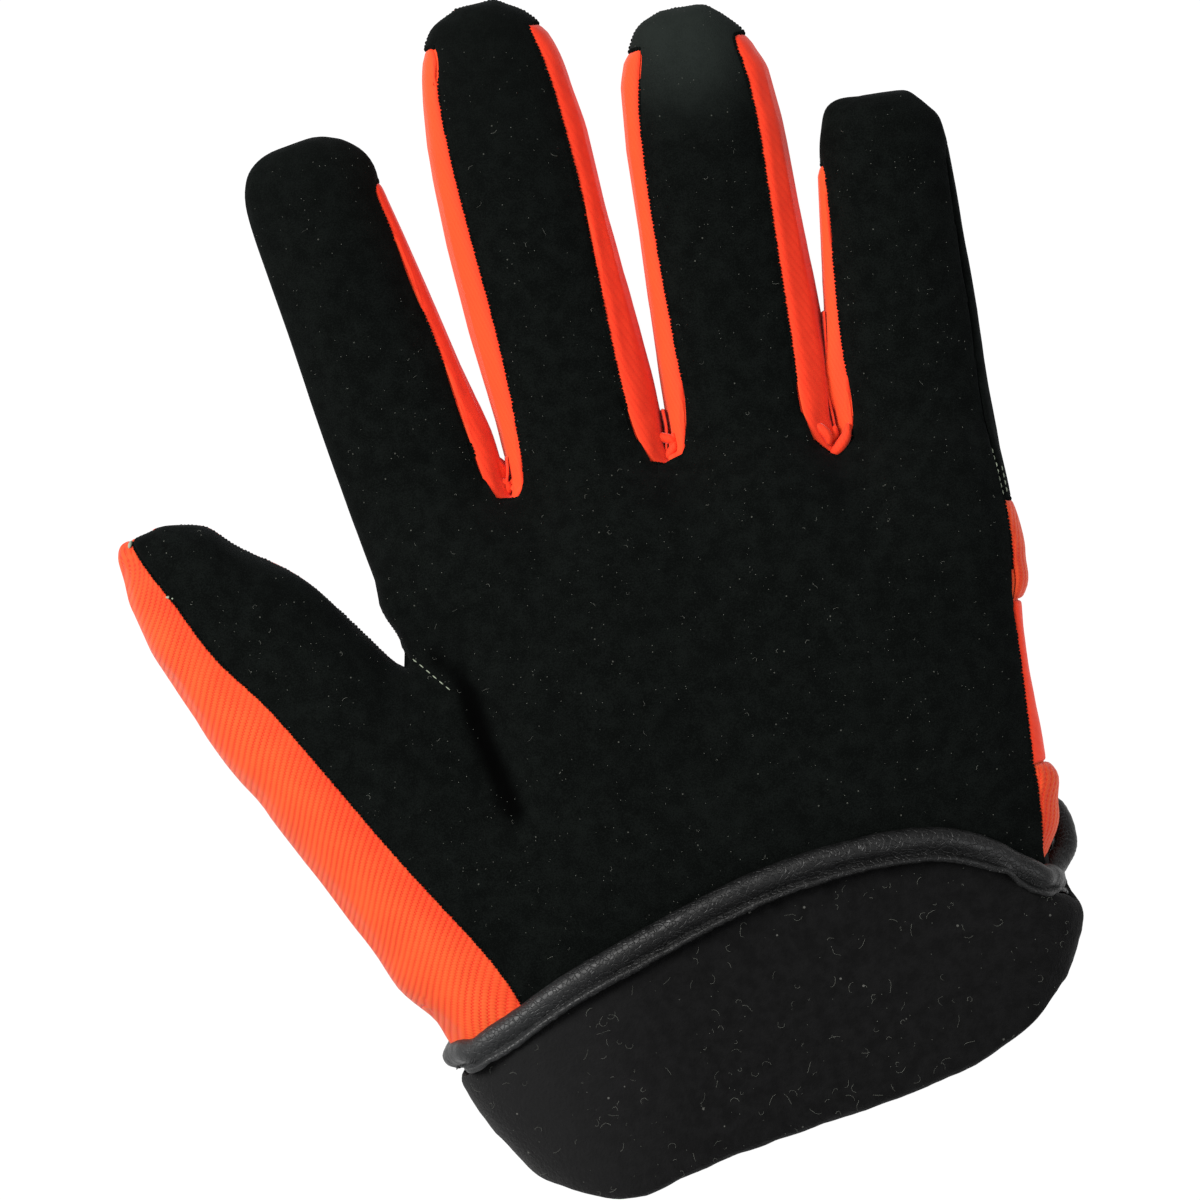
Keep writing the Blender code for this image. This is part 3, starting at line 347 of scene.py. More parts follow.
class GloveClothSettings(bpy.types.PropertyGroup):
    """Sizes and colours of the sewn panels."""

    suede: colour("Suede colour, of the palm and knuckles", (0.0016, 0.0020, 0.0018))
    orange: colour("Orange, of the ribbed and the stretch cloth", (0.58, 0.070, 0.0150))
    # Painted shade: the darker red of the grooves between the ribs and of the twill lines
    orange_groove_shade: colour("Groove colour, between the ribs", (0.54, 0.010, 0.004))
    stretch_orange: colour("Stretch orange, of the strips between the fingers", (0.70, 0.038, 0.010))
    suede_wall: length("Suede wall, how thick the palm is", 1.8 * MM)
    back_wall: length("Back wall, how thick the cloth on the back is", 1.8 * MM)
    stretch_wall: length("Strip wall, how thick the strips between the fingers are", 1.1 * MM)
    rib_pitch: length("Rib pitch, from one rib to the next", 1.05 * MM)
    row_pitch: length("Row pitch, from one row of knitting to the next", 0.70 * MM)
    twill_pitch: length("Twill pitch, from one fine line of the stretch cloth to the next", 0.8 * MM)
    seam_roll: length("Seam roll, how far in from a seam the cloth curls down", 0.9 * MM)
    seam_dip: length("Seam dip, how deep a panel's edge sinks into the seam", 0.55 * MM)
    softness: length("Softness, height of the cloth's slow unevenness", 0.25 * MM)


class GloveCuffSettings(bpy.types.PropertyGroup):
    """Sizes and colours of the turned cuff."""

    fleece: colour("Fleece colour, of the lining", (0.0036, 0.0036, 0.0037))
    binding: colour("Binding colour, of the rolled edge", (0.0024, 0.0025, 0.0026))
    pile: length("Pile, height of the fleece's tufts", 0.25 * MM)
    lint: bpy.props.IntProperty(
        name="Lint", description="How many places for specks and hairs are tried",
        default=2600, min=1, max=5000,
    )


class GloveStageSettings(bpy.types.PropertyGroup):
    """Camera and light."""

    picture_width: length("Picture width, at the glove's middle height", 222.2 * MM, 0.05, 1.0)
    camera_height: length("Camera height, above the floor", 2.6, 0.5, 10.0)
    turn: bpy.props.FloatProperty(
        name="Turn", description="Turn of the picture about the line of sight",
        default=math.radians(-13.0), subtype="ANGLE",
    )


def only(*pieces):
    """Leaves these pieces selected, the last one active, in object mode."""
    if bpy.context.mode != "OBJECT":
        bpy.ops.object.mode_set(mode="OBJECT")
    bpy.ops.object.select_all(action="DESELECT")
    for piece in pieces:
        piece.select_set(True)
    bpy.context.view_layer.objects.active = pieces[-1]


def edit_all(piece, step, **values):
    """Takes one step of edit mode on all of a piece."""
    only(piece)
    bpy.ops.object.mode_set(mode="EDIT")
    bpy.ops.mesh.select_all(action="SELECT")
    step(**values)
    bpy.ops.object.mode_set(mode="OBJECT")


def apply(piece, kind, **values):
    """Adds a modifier with these values and applies it."""
    only(piece)
    bpy.ops.object.modifier_add(type=kind)
    modifier = piece.modifiers[-1]
    for key, value in values.items():
        setattr(modifier, key, value)
    bpy.ops.object.modifier_apply(modifier=modifier.name)


def new_piece(name, points, faces):
    """A new piece from its points and faces."""
    mesh = bpy.data.meshes.new(name)
    mesh.from_pydata([tuple(point) for point in points], [], faces)
    piece = bpy.data.objects.new(name, mesh)
    bpy.context.scene.collection.objects.link(piece)
    return piece


def coordinates(piece):
    """The places of a piece's points, as rows."""
    points = np.empty(len(piece.data.vertices) * 3)
    piece.data.vertices.foreach_get("co", points)
    return points.reshape(-1, 3)


def set_coordinates(piece, points):
    """Moves a piece's points to these places."""
    piece.data.vertices.foreach_set("co", points.astype(np.float32).ravel())
    piece.data.update()


def vertex_normals(piece):
    """The normals at a piece's points, as rows."""
    normals = np.empty(len(piece.data.vertices) * 3, np.float32)
    piece.data.vertex_normals.foreach_get("vector", normals)
    return normals.reshape(-1, 3).astype(float)


def edge_ends(mesh):
    """The numbers of the points at the first and at the second ends of a mesh's edges."""
    ends = np.empty(len(mesh.edges) * 2, int)
    mesh.edges.foreach_get("vertices", ends)
    return ends[0::2], ends[1::2]


def point_tree(places):
    """A search tree over places."""
    tree = KDTree(len(places))
    for index, place in enumerate(places):
        tree.insert(place, index)
    tree.balance()
    return tree


def fade(gap, reach):
    """A share that falls smoothly from 1 at no distance to 0 at this reach."""
    return 0.5 + 0.5 * np.cos(np.pi * np.minimum(gap / reach, 1.0))


def smooth_points(piece, count):
    """Where a piece's first points lie once it is subdivided."""
    modifier = piece.modifiers.new("trial", "SUBSURF")
    modifier.boundary_smooth = "PRESERVE_CORNERS"
    smooth = piece.evaluated_get(bpy.context.evaluated_depsgraph_get())
    points = coordinates(smooth)[:count]
    piece.modifiers.remove(modifier)
    return points


def evened(piece, values):
    """Values at a piece's points, each averaged half and half with its neighbours'."""
    first, second = edge_ends(piece.data)
    total, count = np.zeros_like(values), np.zeros((len(values), 1))
    for here, there in ((first, second), (second, first)):
        np.add.at(total, here, values[there])
        np.add.at(count, here, 1.0)
    return 0.5 * (values + total / np.maximum(count, 1.0))


def subdivide(piece, levels):
    """Subdivides a piece so that it still passes close to the points that it had, and keeps its full size."""
    wanted = coordinates(piece)
    shift = np.zeros_like(wanted)
    border = border_points(piece)
    for _ in range(SHIFT_ROUNDS):
        shift += evened(piece, wanted - smooth_points(piece, len(wanted)))
        shift[border] = 0.0
        far = np.linalg.norm(shift, axis=1, keepdims=True)
        shift *= np.minimum(1.0, MOST_SHIFT / np.maximum(far, WELD))
        set_coordinates(piece, wanted + shift)
    apply(piece, "SUBSURF", levels=levels, render_levels=levels, boundary_smooth="PRESERVE_CORNERS")


def finish_piece(piece, material, slot, *nodes):
    """Sets a piece on the ground, gives it its finish, shading and body, and hides the nodes that it stands for.
    """
    points = coordinates(piece)
    points[:, 2] = np.maximum(points[:, 2], 0.0)
    set_coordinates(piece, points)
    piece.data.materials.clear()
    piece.data.materials.append(material)
    only(piece)
    bpy.ops.object.shade_smooth_by_angle(angle=SHARP)
    if nodes:
        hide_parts(*nodes)
    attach(piece, "root")


def welded_copy(node, name):
    """A copy of a CAD node's mesh, welded, as a new piece."""
    piece = bpy.data.objects.new(name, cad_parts[node].data.copy())
    bpy.context.scene.collection.objects.link(piece)
    only(piece)
    bpy.ops.mesh.customdata_custom_splitnormals_clear()
    edit_all(piece, bpy.ops.mesh.remove_doubles, threshold=WELD)
    return piece


def pair_triangles(piece):
    """Joins the triangles that a quad was split into."""
    edit_all(piece, bpy.ops.mesh.tris_convert_to_quads,
             face_threshold=math.radians(70.0), shape_threshold=math.radians(75.0))


def nearest_middle(place):
    """The nearest point of the hand's middle lines."""
    best, found = None, None
    for start, end in MIDDLE_LINES:
        a, b = on_glove(*start), on_glove(*end)
        a.z = b.z = MIDDLE_HEIGHT
        along = b - a
        share = min(max((place - a).dot(along) / along.length_squared, 0.0), 1.0)
        point = a + along * share
        gap = (place - point).length
        if best is None or gap < best:
            best, found = gap, point
    return found


def wall_edge_faces(shell, wall):
    """The faces of a thin shell's cut edge: each has an edge about as long as the wall is thick."""
    tree = BVHTree.FromBMesh(shell)
    shortest, longest = wall - STRUT_SLACK, math.hypot(wall, STRUT_LEAN) + STRUT_SLACK
    cut = set()
    for face in shell.faces:
        if not any(shortest < edge.calc_length() < longest for edge in face.edges):
            continue
        centre = face.calc_center_median()
        reach = tree.ray_cast(centre - face.normal * STRUT_SLACK, -face.normal)[3]
        if reach is None or reach > OTHER_SIDE * wall:
            cut.add(face)
    return cut


def spread_from(face, barred):
    """All faces reached from this one without crossing the barred ones."""
    found, waiting = {face}, [face]
    while waiting:
        for edge in waiting.pop().edges:
            for other in edge.link_faces:
                if other not in found and other not in barred:
                    found.add(other)
                    waiting.append(other)
    return found


def keep_outside(piece, wall):
    """Takes away the inside and the cut edge of a thin shell, which leaves its outside as one open sheet."""
    shell = bmesh.new()
    shell.from_mesh(piece.data)
    shell.normal_update()
    cut = wall_edge_faces(shell, wall)
    best, outside = None, None
    waiting = set(shell.faces) - cut
    while waiting:
        part = spread_from(min(waiting, key=lambda face: face.index), cut)
        waiting -= part
        facing = 0.0
        for face in part:
            centre = face.calc_center_median()
            facing += face.calc_area() * face.normal.dot((centre - nearest_middle(centre)).normalized())
        if best is None or facing > best:
            best, outside = facing, part
    bmesh.ops.delete(shell, geom=[face for face in shell.faces if face not in outside], context="FACES")
    shell.to_mesh(piece.data)
    shell.free()


def lay_cloth(piece, lean=None):
    """Gives a piece its cloth coordinates in metres: places in plan, with the drop down its sides as rows.

    A line to lean from makes the ribs lean over more and more to its right.
    """
    layer = piece.data.uv_layers.get("cloth") or piece.data.uv_layers.new(name="cloth")
    layer.active = True
    corners = np.empty(len(piece.data.loops), int)
    piece.data.loops.foreach_get("vertex_index", corners)
    points = coordinates(piece)
    across, along = points[:, 0].copy(), points[:, 1] + points[:, 2]
    if lean:
        way, gap, _ = nearest_on_line(points, lean)
        across += points[:, 2] * math.tan(RIB_TURN) - points[:, 1] * THUMB_LEAN
        across += LEAN * gap**2 * np.sign(way[:, 0])
    layer.data.foreach_set("uv", np.column_stack([across, along])[corners].astype(np.float32).ravel())


def nearest_on_line(points, line):
    """From points to a line in plan: the way to it, how far it is, and the share of its length there."""
    plan = points[:, :2]
    corners = [np.array(on_glove(*corner)[:2]) for corner in line]
    spans = [np.linalg.norm(b - a) for a, b in zip(corners, corners[1:])]
    way, gap, share, passed = np.zeros_like(plan), np.full(len(plan), np.inf), np.zeros(len(plan)), 0.0
    for a, b, span in zip(corners, corners[1:], spans):
        along = np.clip(((plan - a) @ (b - a)) / span**2, 0.0, 1.0)
        off = a + along[:, None] * (b - a) - plan
        far = np.linalg.norm(off, axis=1)
        near = far < gap
        way[near], gap[near] = off[near], far[near]
        share[near] = (passed + along * span)[near] / sum(spans)
        passed += span
    return way, gap, share


def pull_outline(points, node):
    """Moves a node's places in plan by the table of pulls, most at each pull's middle."""
    for nodes, (x, y), (across, along), reach in OUTLINE_PULLS:
        if nodes and node not in nodes:
            continue
        gap = np.linalg.norm(points[:, :2] - np.array(on_glove(x, y)[:2]), axis=1)
        share = fade(gap, reach * MM)
        points[:, 0] += across * MM * share
        points[:, 1] += along * MM * share
    return points


def close_gaps(piece):
    """Swells a strip, and draws its two sides together where the gap between the fingers ends."""
    points, normals = coordinates(piece), vertex_normals(piece)
    edge = distance_from_border(piece, points)
    points += normals * (STRIP_SWELL * np.clip(edge / SWELL_MARGIN, 0.0, 1.0))[:, None]
    for line in GUSSETS:
        way, gap, share = nearest_on_line(points, line)
        pull = np.clip(1.0 - gap / GAP_REACH, 0.0, 1.0) * np.clip(share / GAP_GROWS, 0.0, 1.0)
        pull *= np.clip((1.0 - share) / GAP_FADES, 0.0, 1.0) * np.clip(edge / PULL_MARGIN, 0.0, 1.0)
        points[:, :2] += way * pull[:, None]
    set_coordinates(piece, points)


def border_points(piece):
    """The points of an open sheet's border."""
    mesh = piece.data
    uses = {}
    for face in mesh.polygons:
        for key in face.edge_keys:
            uses[key] = uses.get(key, 0) + 1
    return sorted({end for key, count in uses.items() if count == 1 for end in key})


def distance_from_border(piece, points):
    """How far each point of an open sheet lies from the sheet's border."""
    tree = point_tree([points[index] for index in border_points(piece)])
    return np.array([tree.find(point)[2] for point in points])


def slow_noise(points, size, seed):
    """A smooth uneven field from -1 to 1 with lumps of this size."""
    shift = Vector((seed * 7.3, seed * 3.1, seed * 5.7))
    return np.array([noise.noise(Vector(point) / size + shift) for point in points])


def add_border_rings(piece, reaches):
    """Splits the faces along an open sheet's border, at these distances from it, the widest first."""
    sheet = bmesh.new()
    sheet.from_mesh(piece.data)
    for reach in reaches:
        border = {point for point in sheet.verts if point.is_boundary}
        inward = [edge for edge in sheet.edges if (edge.verts[0] in border) != (edge.verts[1] in border)]
        made = []
        for edge in inward:
            start = edge.verts[0] if edge.verts[0] in border else edge.verts[1]
            share = min(reach / max(edge.calc_length(), reach), 0.5)
            made.append(bmesh.utils.edge_split(edge, start, share)[1])
        bmesh.ops.connect_verts(sheet, verts=made)
    sheet.to_mesh(piece.data)
    sheet.free()


def curl_edges(piece, settings):
    """Curls a sheet's border down into its seams, and makes its face a little uneven."""
    points, normals = coordinates(piece), vertex_normals(piece)
    edge = distance_from_border(piece, points)
    inward = np.clip(1.0 - edge / settings.seam_roll, 0.0, 1.0)
    dip = settings.seam_dip * (1.0 - np.sqrt(1.0 - np.minimum(inward, 1.0) ** 2))
    uneven = settings.softness * slow_noise(points, BROAD_LUMPS, 1.0)
    uneven += SMALL_SHARE * settings.softness * slow_noise(points, SMALL_LUMPS, 2.0)
    uneven *= np.clip(edge / LUMP_MARGIN, 0.0, 1.0)
    points += normals * uneven[:, None]
    for index in np.flatnonzero(dip):
        place = Vector(points[index])
        points[index] += dip[index] * (nearest_middle(place) - place).normalized()
    set_coordinates(piece, points)


def fold_palm(piece):
    """Presses the palm's soft creases in, and raises its ridges."""
    points, normals = coordinates(piece), vertex_normals(piece)
    rise = np.zeros(len(points))
    for line, height, reach in PALM_FOLDS:
        _, gap, share = nearest_on_line(points, line)
        rise += height * MM * np.sin(np.pi * share) * fade(gap, reach * MM)
    rise *= normals[:, 2] > 0.1
    set_coordinates(piece, points + normals * rise[:, None])


def paint_light(piece, values):
    """Stores how much paler or darker a piece is painted at each point, from 1 to -1: painted light above zero,
    painted shade below.
    """
    layer = piece.data.attributes.new("painted_light", "FLOAT", "POINT")
    layer.data.foreach_set("value", np.asarray(values, np.float32))


def palm_painted_light(piece):
    """The palm's painted shade in its crease, and painted sheen at its ring fingertip."""
    points = coordinates(piece)
    painted_light = np.zeros(len(points))
    for line, amount, reach in PALM_PAINTED_LIGHT:
        _, gap, _ = nearest_on_line(points, line)
        painted_light += amount * fade(gap, reach * MM)
    paint_light(piece, painted_light)


def seam_painted_shade(piece, node):
    """Paints shade on cloth near its seams, where it curls down into them."""
    tree = point_tree([place for line in SEAMS[node] for place, _ in walk(line, SHADE_STEP)])
    gap = np.array([tree.find(point)[2] for point in coordinates(piece)])
    paint_light(piece, -np.clip(1.0 - gap / SEAM_SHADE, 0.0, 1.0))


@functools.cache
def skin_tree():
    """A search tree over the whole CAD frame."""
    points, faces = [], []
    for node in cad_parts.values():
        if node.type == "MESH":
            start = len(points)
            points.extend(node.matrix_world @ point.co for point in node.data.vertices)
            faces.extend([start + corner for corner in face.vertices] for face in node.data.polygons)
    return BVHTree.FromPolygons(points, faces)


def keep_in_skin(piece, most):
    """Brings points that stand out of the glove's skin by more than this back to it."""
    skin, points = skin_tree(), coordinates(piece)
    for index, point in enumerate(points):
        place = Vector(point)
        near, normal, _, gap = skin.find_nearest(place)
        if gap > most and normal.dot(place - near) > 0.0 and normal.dot(near - nearest_middle(near)) > 0.0:
            points[index] = near + normal * most
    set_coordinates(piece, points)


def border_lines(piece):
    """The closed border lines of an open sheet, each as its points in order."""
    sheet = bmesh.new()
    sheet.from_mesh(piece.data)
    left = {edge for edge in sheet.edges if edge.is_boundary}
    lines = []
    while left:
        edge = min(left, key=lambda one: one.index)
        start, point = edge.verts
        line = [start.co.copy()]
        while edge:
            left.discard(edge)
            line.append(point.co.copy())
            edge = next((one for one in point.link_edges if one in left), None)
            point = edge.other_vert(point) if edge else point
        lines.append(line)
    sheet.free()
    return lines


def cloth_panel(node, name, wall, levels, shape=None, lean=None):
    """A finished cloth panel in the place of its node."""
    settings = bpy.context.scene.glove_cloth
    piece = welded_copy(node, name)
    keep_outside(piece, wall)
    pair_triangles(piece)
    subdivide(piece, levels)
    add_border_rings(piece, BORDER_RINGS)
    if shape:
        shape(piece)
    curl_edges(piece, settings)
    most = STRIP_SWELL if shape == close_gaps else PANEL_SWELL
    keep_in_skin(piece, most)
    lay_cloth(piece, lean)
    SEAMS[node] = [list(map(Vector, pull_outline(np.array(line), node))) for line in border_lines(piece)]
    apply(piece, "SOLIDIFY", thickness=FACE_SHARE * wall, offset=-1.0, use_rim=True)
    keep_in_skin(piece, most)
    set_coordinates(piece, pull_outline(coordinates(piece), node))
    return piece


def walk(line, pitch):
    """Places at an even pitch along a line, each with the line's direction."""
    wait = 0.5 * pitch
    for a, b in zip(line, line[1:]):
        span = (b - a).length
        while wait < span:
            yield a.lerp(b, wait / span), (b - a).normalized()
            wait += pitch
        wait -= span


def ring_of_points(centre, side, up, count):
    """Points round an ellipse, given by its middle and its two half axes."""
    turns = [2.0 * math.pi * step / count for step in range(count)]
    return [centre + side * math.cos(turn) + up * math.sin(turn) for turn in turns]


class Heap:
    """Gathers many small closed bodies into one piece."""

    def __init__(self):
        self.points = []
        self.faces = []

    def rings(self, rings, first, last):
        """Adds a closed body through rings of points, from its first point to its last."""
        sides, count, start = len(rings[0]), len(rings), len(self.points)
        self.points += [first, *(point for ring in rings for point in ring), last]
        end = len(self.points) - 1
        for side in range(sides):
            after = (side + 1) % sides
            self.faces.append((start, start + 1 + after, start + 1 + side))
            for row in range(count - 1):
                here = start + 1 + row * sides
                there = here + sides
                self.faces.append((here + side, here + after, there + after, there + side))
            base = start + 1 + (count - 1) * sides
            self.faces.append((base + side, base + after, end))

    def ball(self, centre, along, up, size):
        """Adds a rounded lump with its half length, half width and half height."""
        side = up.cross(along).normalized()
        up = along.cross(side)
        half_length, half_width, half_height = size
        rings = []
        for row in range(1, LUMP_ROWS):
            tilt = math.pi * row / LUMP_ROWS
            middle = centre - along * (half_length * math.cos(tilt))
            wide, high = side * (half_width * math.sin(tilt)), up * (half_height * math.sin(tilt))
            rings.append(ring_of_points(middle, wide, high, LUMP_SIDES))
        self.rings(rings, centre - along * half_length, centre + along * half_length)

    def strand(self, line, widths, tall=1.0, sides=6):
        """Adds a tapered strand along a line, with its half widths, and how tall it is for its width."""
        rings = []
        side = Vector((0.0, 0.0, 1.0)).cross(line[1] - line[0])
        for index, (point, width) in enumerate(zip(line, widths)):
            before, after = line[max(index - 1, 0)], line[min(index + 1, len(line) - 1)]
            along = (after - before).normalized()
            side = side - along * side.dot(along)
            if side.length < WELD:
                side = along.orthogonal()
            side.normalize()
            rings.append(ring_of_points(point, side * width, along.cross(side) * (width * tall), sides))
        first = line[0] + (line[0] - line[1]).normalized() * widths[0] * ROUND_END
        last = line[-1] + (line[-1] - line[-2]).normalized() * widths[-1] * ROUND_END
        self.rings(rings, first, last)

    def piece(self, name):
        """The piece made of all that was added."""
        return new_piece(name, self.points, self.faces)


def surface_trees(*names):
    """Search trees of finished pieces."""
    trees = {}
    for name in names:
        mesh = bpy.data.objects[name].data
        points = [point.co for point in mesh.vertices]
        trees[name] = BVHTree.FromPolygons(points, [tuple(face.vertices) for face in mesh.polygons])
    return trees


def top_at(trees, place):
    """The highest point of the pieces over a place in plan, with its normal and the piece's name, or None."""
    best = None
    for name, tree in trees.items():
        point, normal = tree.ray_cast(Vector((place.x, place.y, OVERHEAD)), Vector((0.0, 0.0, -1.0)))[:2]
        if point and (best is None or point.z > best[0].z):
            best = (point, normal if normal.z > 0.0 else -normal, name)
    return best


def smooth_line(corners, steps):
    """Corners in plan joined by a smooth line of points, in metres."""
    points = [on_glove(*corner) for corner in corners]
    ends = [points[0] * 2.0 - points[1], *points, points[-1] * 2.0 - points[-2]]
    line = []
    for a, b, c, d in zip(ends, ends[1:], ends[2:], ends[3:]):
        for step in range(steps):
            t = step / steps
            line.append(0.5 * ((b * 2.0) + (c - a) * t + (a * 2.0 - b * 5.0 + c * 4.0 - d) * t**2
                               + (b * 3.0 - a - c * 3.0 + d) * t**3))
    return line + [points[-1]]


def seam_lumps(name, nodes, others, size, sink):
    """Small puckers of cloth all along the seams where some nodes' panels meet others."""
    lines = [line for node in others for line in SEAMS[node]]
    tree = point_tree([place for line in lines for place, _ in walk(line, SEAM_STEP)])
    share, closeness = PUCKER_VARIES
    heap = Heap()
    for node in nodes:
        for line in SEAMS[node]:
            for place, along in walk(line, PUCKER_PITCH):
                near, _, gap = tree.find(place)
                if gap > WIDEST_SEAM:
                    continue
                centre = place.lerp(near, PUCKER_PLACE)
                up = (centre - nearest_middle(centre)).normalized()
                vary = 1.0 + share * noise.noise(place * closeness)
                heap.ball(centre - up * sink * MM, along, up, [part * MM * vary for part in size])
    return heap.piece(name)


def group(name, inputs, outputs):
    """A new shader node group with its sockets. An input is a name, a kind and a default."""
    tree = bpy.data.node_groups.new(name, "ShaderNodeTree")
    for label, kind, default in inputs:
        socket = tree.interface.new_socket(label, in_out="INPUT", socket_type=kind)
        if default is not None:
            socket.default_value = default
    for label, kind in outputs:
        tree.interface.new_socket(label, in_out="OUTPUT", socket_type=kind)
    tree.nodes.new("NodeGroupInput")
    tree.nodes.new("NodeGroupOutput")
    return tree


class Wiring:
    """Adds nodes to a tree and links them."""

    def __init__(self, tree):
        self.tree = tree

    def feed(self, socket, value):
        """Gives a socket a value, or links it to another node's output."""
        if isinstance(value, bpy.types.NodeSocket):
            self.tree.links.new(value, socket)
        elif socket.type == "RGBA":
            socket.default_value = (*value[:3], 1.0)
        else:
            socket.default_value = value

    def node(self, kind, settings=None, **inputs):
        """A node whose inputs are values or other nodes' outputs, by name, or by number as i0, i1 and on."""
        made = self.tree.nodes.new(kind)
        for key, value in (settings or {}).items():
            setattr(made, key, value)
        for key, value in inputs.items():
            numbered = key[0] == "i" and key[1:].isdigit()
            self.feed(made.inputs[int(key[1:]) if numbered else key.replace("_", " ")], value)
        return made

    def math(self, operation, first, second=0.0, third=0.0):
        """The outcome of one operation on up to three values."""
        return self.node("ShaderNodeMath", {"operation": operation}, i0=first, i1=second, i2=third).outputs[0]

    def ramp(self, value, low, high, to_low=0.0, to_high=1.0):
        """A value spread smoothly between two limits."""
        made = self.node(
            "ShaderNodeMapRange", {"interpolation_type": "SMOOTHSTEP"},
            Value=value, From_Min=low, From_Max=high, To_Min=to_low, To_Max=to_high,
        )
        return made.outputs[0]

    def mix(self, share, first, second):
        """A colour between two."""
        return self.node("ShaderNodeMix", {"data_type": "RGBA"}, i0=share, i6=first, i7=second).outputs[2]

    def noise(self, vector, scale, detail=2.0, roughness=0.5):
        """A noise in space."""
        made = self.node("ShaderNodeTexNoise", Vector=vector, Scale=scale, Detail=detail, Roughness=roughness)
        return made.outputs[0]


def group_sockets(tree):
    """The outputs of a group's input node, and the inputs of its output node."""
    start = next(node for node in tree.nodes if node.type == "GROUP_INPUT")
    end = next(node for node in tree.nodes if node.type == "GROUP_OUTPUT")
    return start.outputs, end.inputs


def nap_group():
    """Short fibres lying every way: a height, and a mottle that varies more slowly."""
    if "nap" in bpy.data.node_groups:
        return bpy.data.node_groups["nap"]
    tree = group(
        "nap",
        [("Vector", "NodeSocketVector", None), ("Fibre", "NodeSocketFloat", 4000.0),
         ("Patch", "NodeSocketFloat", 260.0)],
        [("Height", "NodeSocketFloat"), ("Mottle", "NodeSocketFloat")],
    )
    wire = Wiring(tree)
    given, wanted = group_sockets(tree)
    fine = wire.noise(given["Vector"], given["Fibre"], 3.0, 0.65)
    coarse = wire.noise(given["Vector"], given["Patch"], 4.0, 0.6)
    wire.feed(wanted["Height"], wire.math("MULTIPLY_ADD", coarse, 0.5, fine))
    wire.feed(wanted["Mottle"], coarse)
    return tree


def specks_group():
    """Sparse small specks of lint, as a mask."""
    if "specks" in bpy.data.node_groups:
        return bpy.data.node_groups["specks"]
    tree = group(
        "specks",
        [("Vector", "NodeSocketVector", None), ("Density", "NodeSocketFloat", 260.0),
         ("Size", "NodeSocketFloat", 0.05)],
        [("Mask", "NodeSocketFloat")],
    )
    wire = Wiring(tree)
    given, wanted = group_sockets(tree)
    cells = wire.node("ShaderNodeTexVoronoi", Vector=given["Vector"], Scale=given["Density"])
    near = wire.math("LESS_THAN", cells.outputs["Distance"], given["Size"])
    draw = wire.node("ShaderNodeSeparateColor", Color=cells.outputs["Color"]).outputs[0]
    picked = wire.math("GREATER_THAN", draw, 0.72)
    wire.feed(wanted["Mask"], wire.math("MULTIPLY", near, picked))
    return tree


def ribs_group():
    """Ribs or twill lines across cloth that is flattened in metres: a height, and a mask of the grooves, where
    shade is painted.
    """
    if "ribs" in bpy.data.node_groups:
        return bpy.data.node_groups["ribs"]
    tree = group(
        "ribs",
        [("Vector", "NodeSocketVector", None), ("Turn", "NodeSocketFloat", 0.0),
         ("Pitch", "NodeSocketFloat", 0.001), ("Row", "NodeSocketFloat", 0.0004),
         ("Row Depth", "NodeSocketFloat", 0.5)],
        [("Height", "NodeSocketFloat"), ("Groove", "NodeSocketFloat")],
    )
    wire = Wiring(tree)
    given, wanted = group_sockets(tree)
    turned = wire.node(
        "ShaderNodeVectorRotate", {"rotation_type": "Z_AXIS"}, Vector=given["Vector"], Angle=given["Turn"],
    )
    parts = wire.node("ShaderNodeSeparateXYZ", Vector=turned.outputs[0])
    across = wire.math("DIVIDE", parts.outputs[0], given["Pitch"])
    along = wire.math("DIVIDE", parts.outputs[1], given["Row"])
    stagger = wire.math("MULTIPLY_ADD", wire.math("FLOOR", across), 0.5, along)
    wave = wire.math("COSINE", wire.math("MULTIPLY", across, 2.0 * math.pi))
    rib = wire.math("MULTIPLY_ADD", wave, -0.5, 0.5)
    row = wire.math("COSINE", wire.math("MULTIPLY", stagger, 2.0 * math.pi))
    row = wire.math("MULTIPLY_ADD", row, 0.5, 0.5)
    lowered = wire.math("MULTIPLY", row, given["Row Depth"])
    wire.feed(wanted["Height"], wire.math("SUBTRACT", wire.math("POWER", rib, 0.6), lowered))
    groove = wire.ramp(wire.math("SUBTRACT", 1.0, rib), 0.35, 0.95)
    wire.feed(wanted["Groove"], wire.math("MULTIPLY", groove, wire.ramp(row, 0.2, 0.8)))
    return tree


def new_material(name):
    """An empty material with its Principled shader, and the wiring for it."""
    material = bpy.data.materials.new(name)
    material.use_nodes = True
    wire = Wiring(material.node_tree)
    shader = material.node_tree.nodes["Principled BSDF"]
    return material, wire, shader


def use_group(wire, tree, **inputs):
    """A group placed in a material with its own values."""
    return wire.node("ShaderNodeGroup", {"node_tree": tree}, **inputs).outputs


def bump(wire, shader, height, distance):
    """Gives a shader a bump this high."""
    made = wire.node("ShaderNodeBump", Height=height, Distance=distance, Strength=1.0)
    wire.feed(shader.inputs["Normal"], made.outputs[0])


def times(shade, share):
    """A colour made paler or darker."""
    return tuple(min(part * share, 1.0) for part in shade)


def plain(shader, **values):
    """Sets the shader's sockets that are the same all over."""
    for key, value in values.items():
        shader.inputs[key.replace("_", " ")].default_value = value


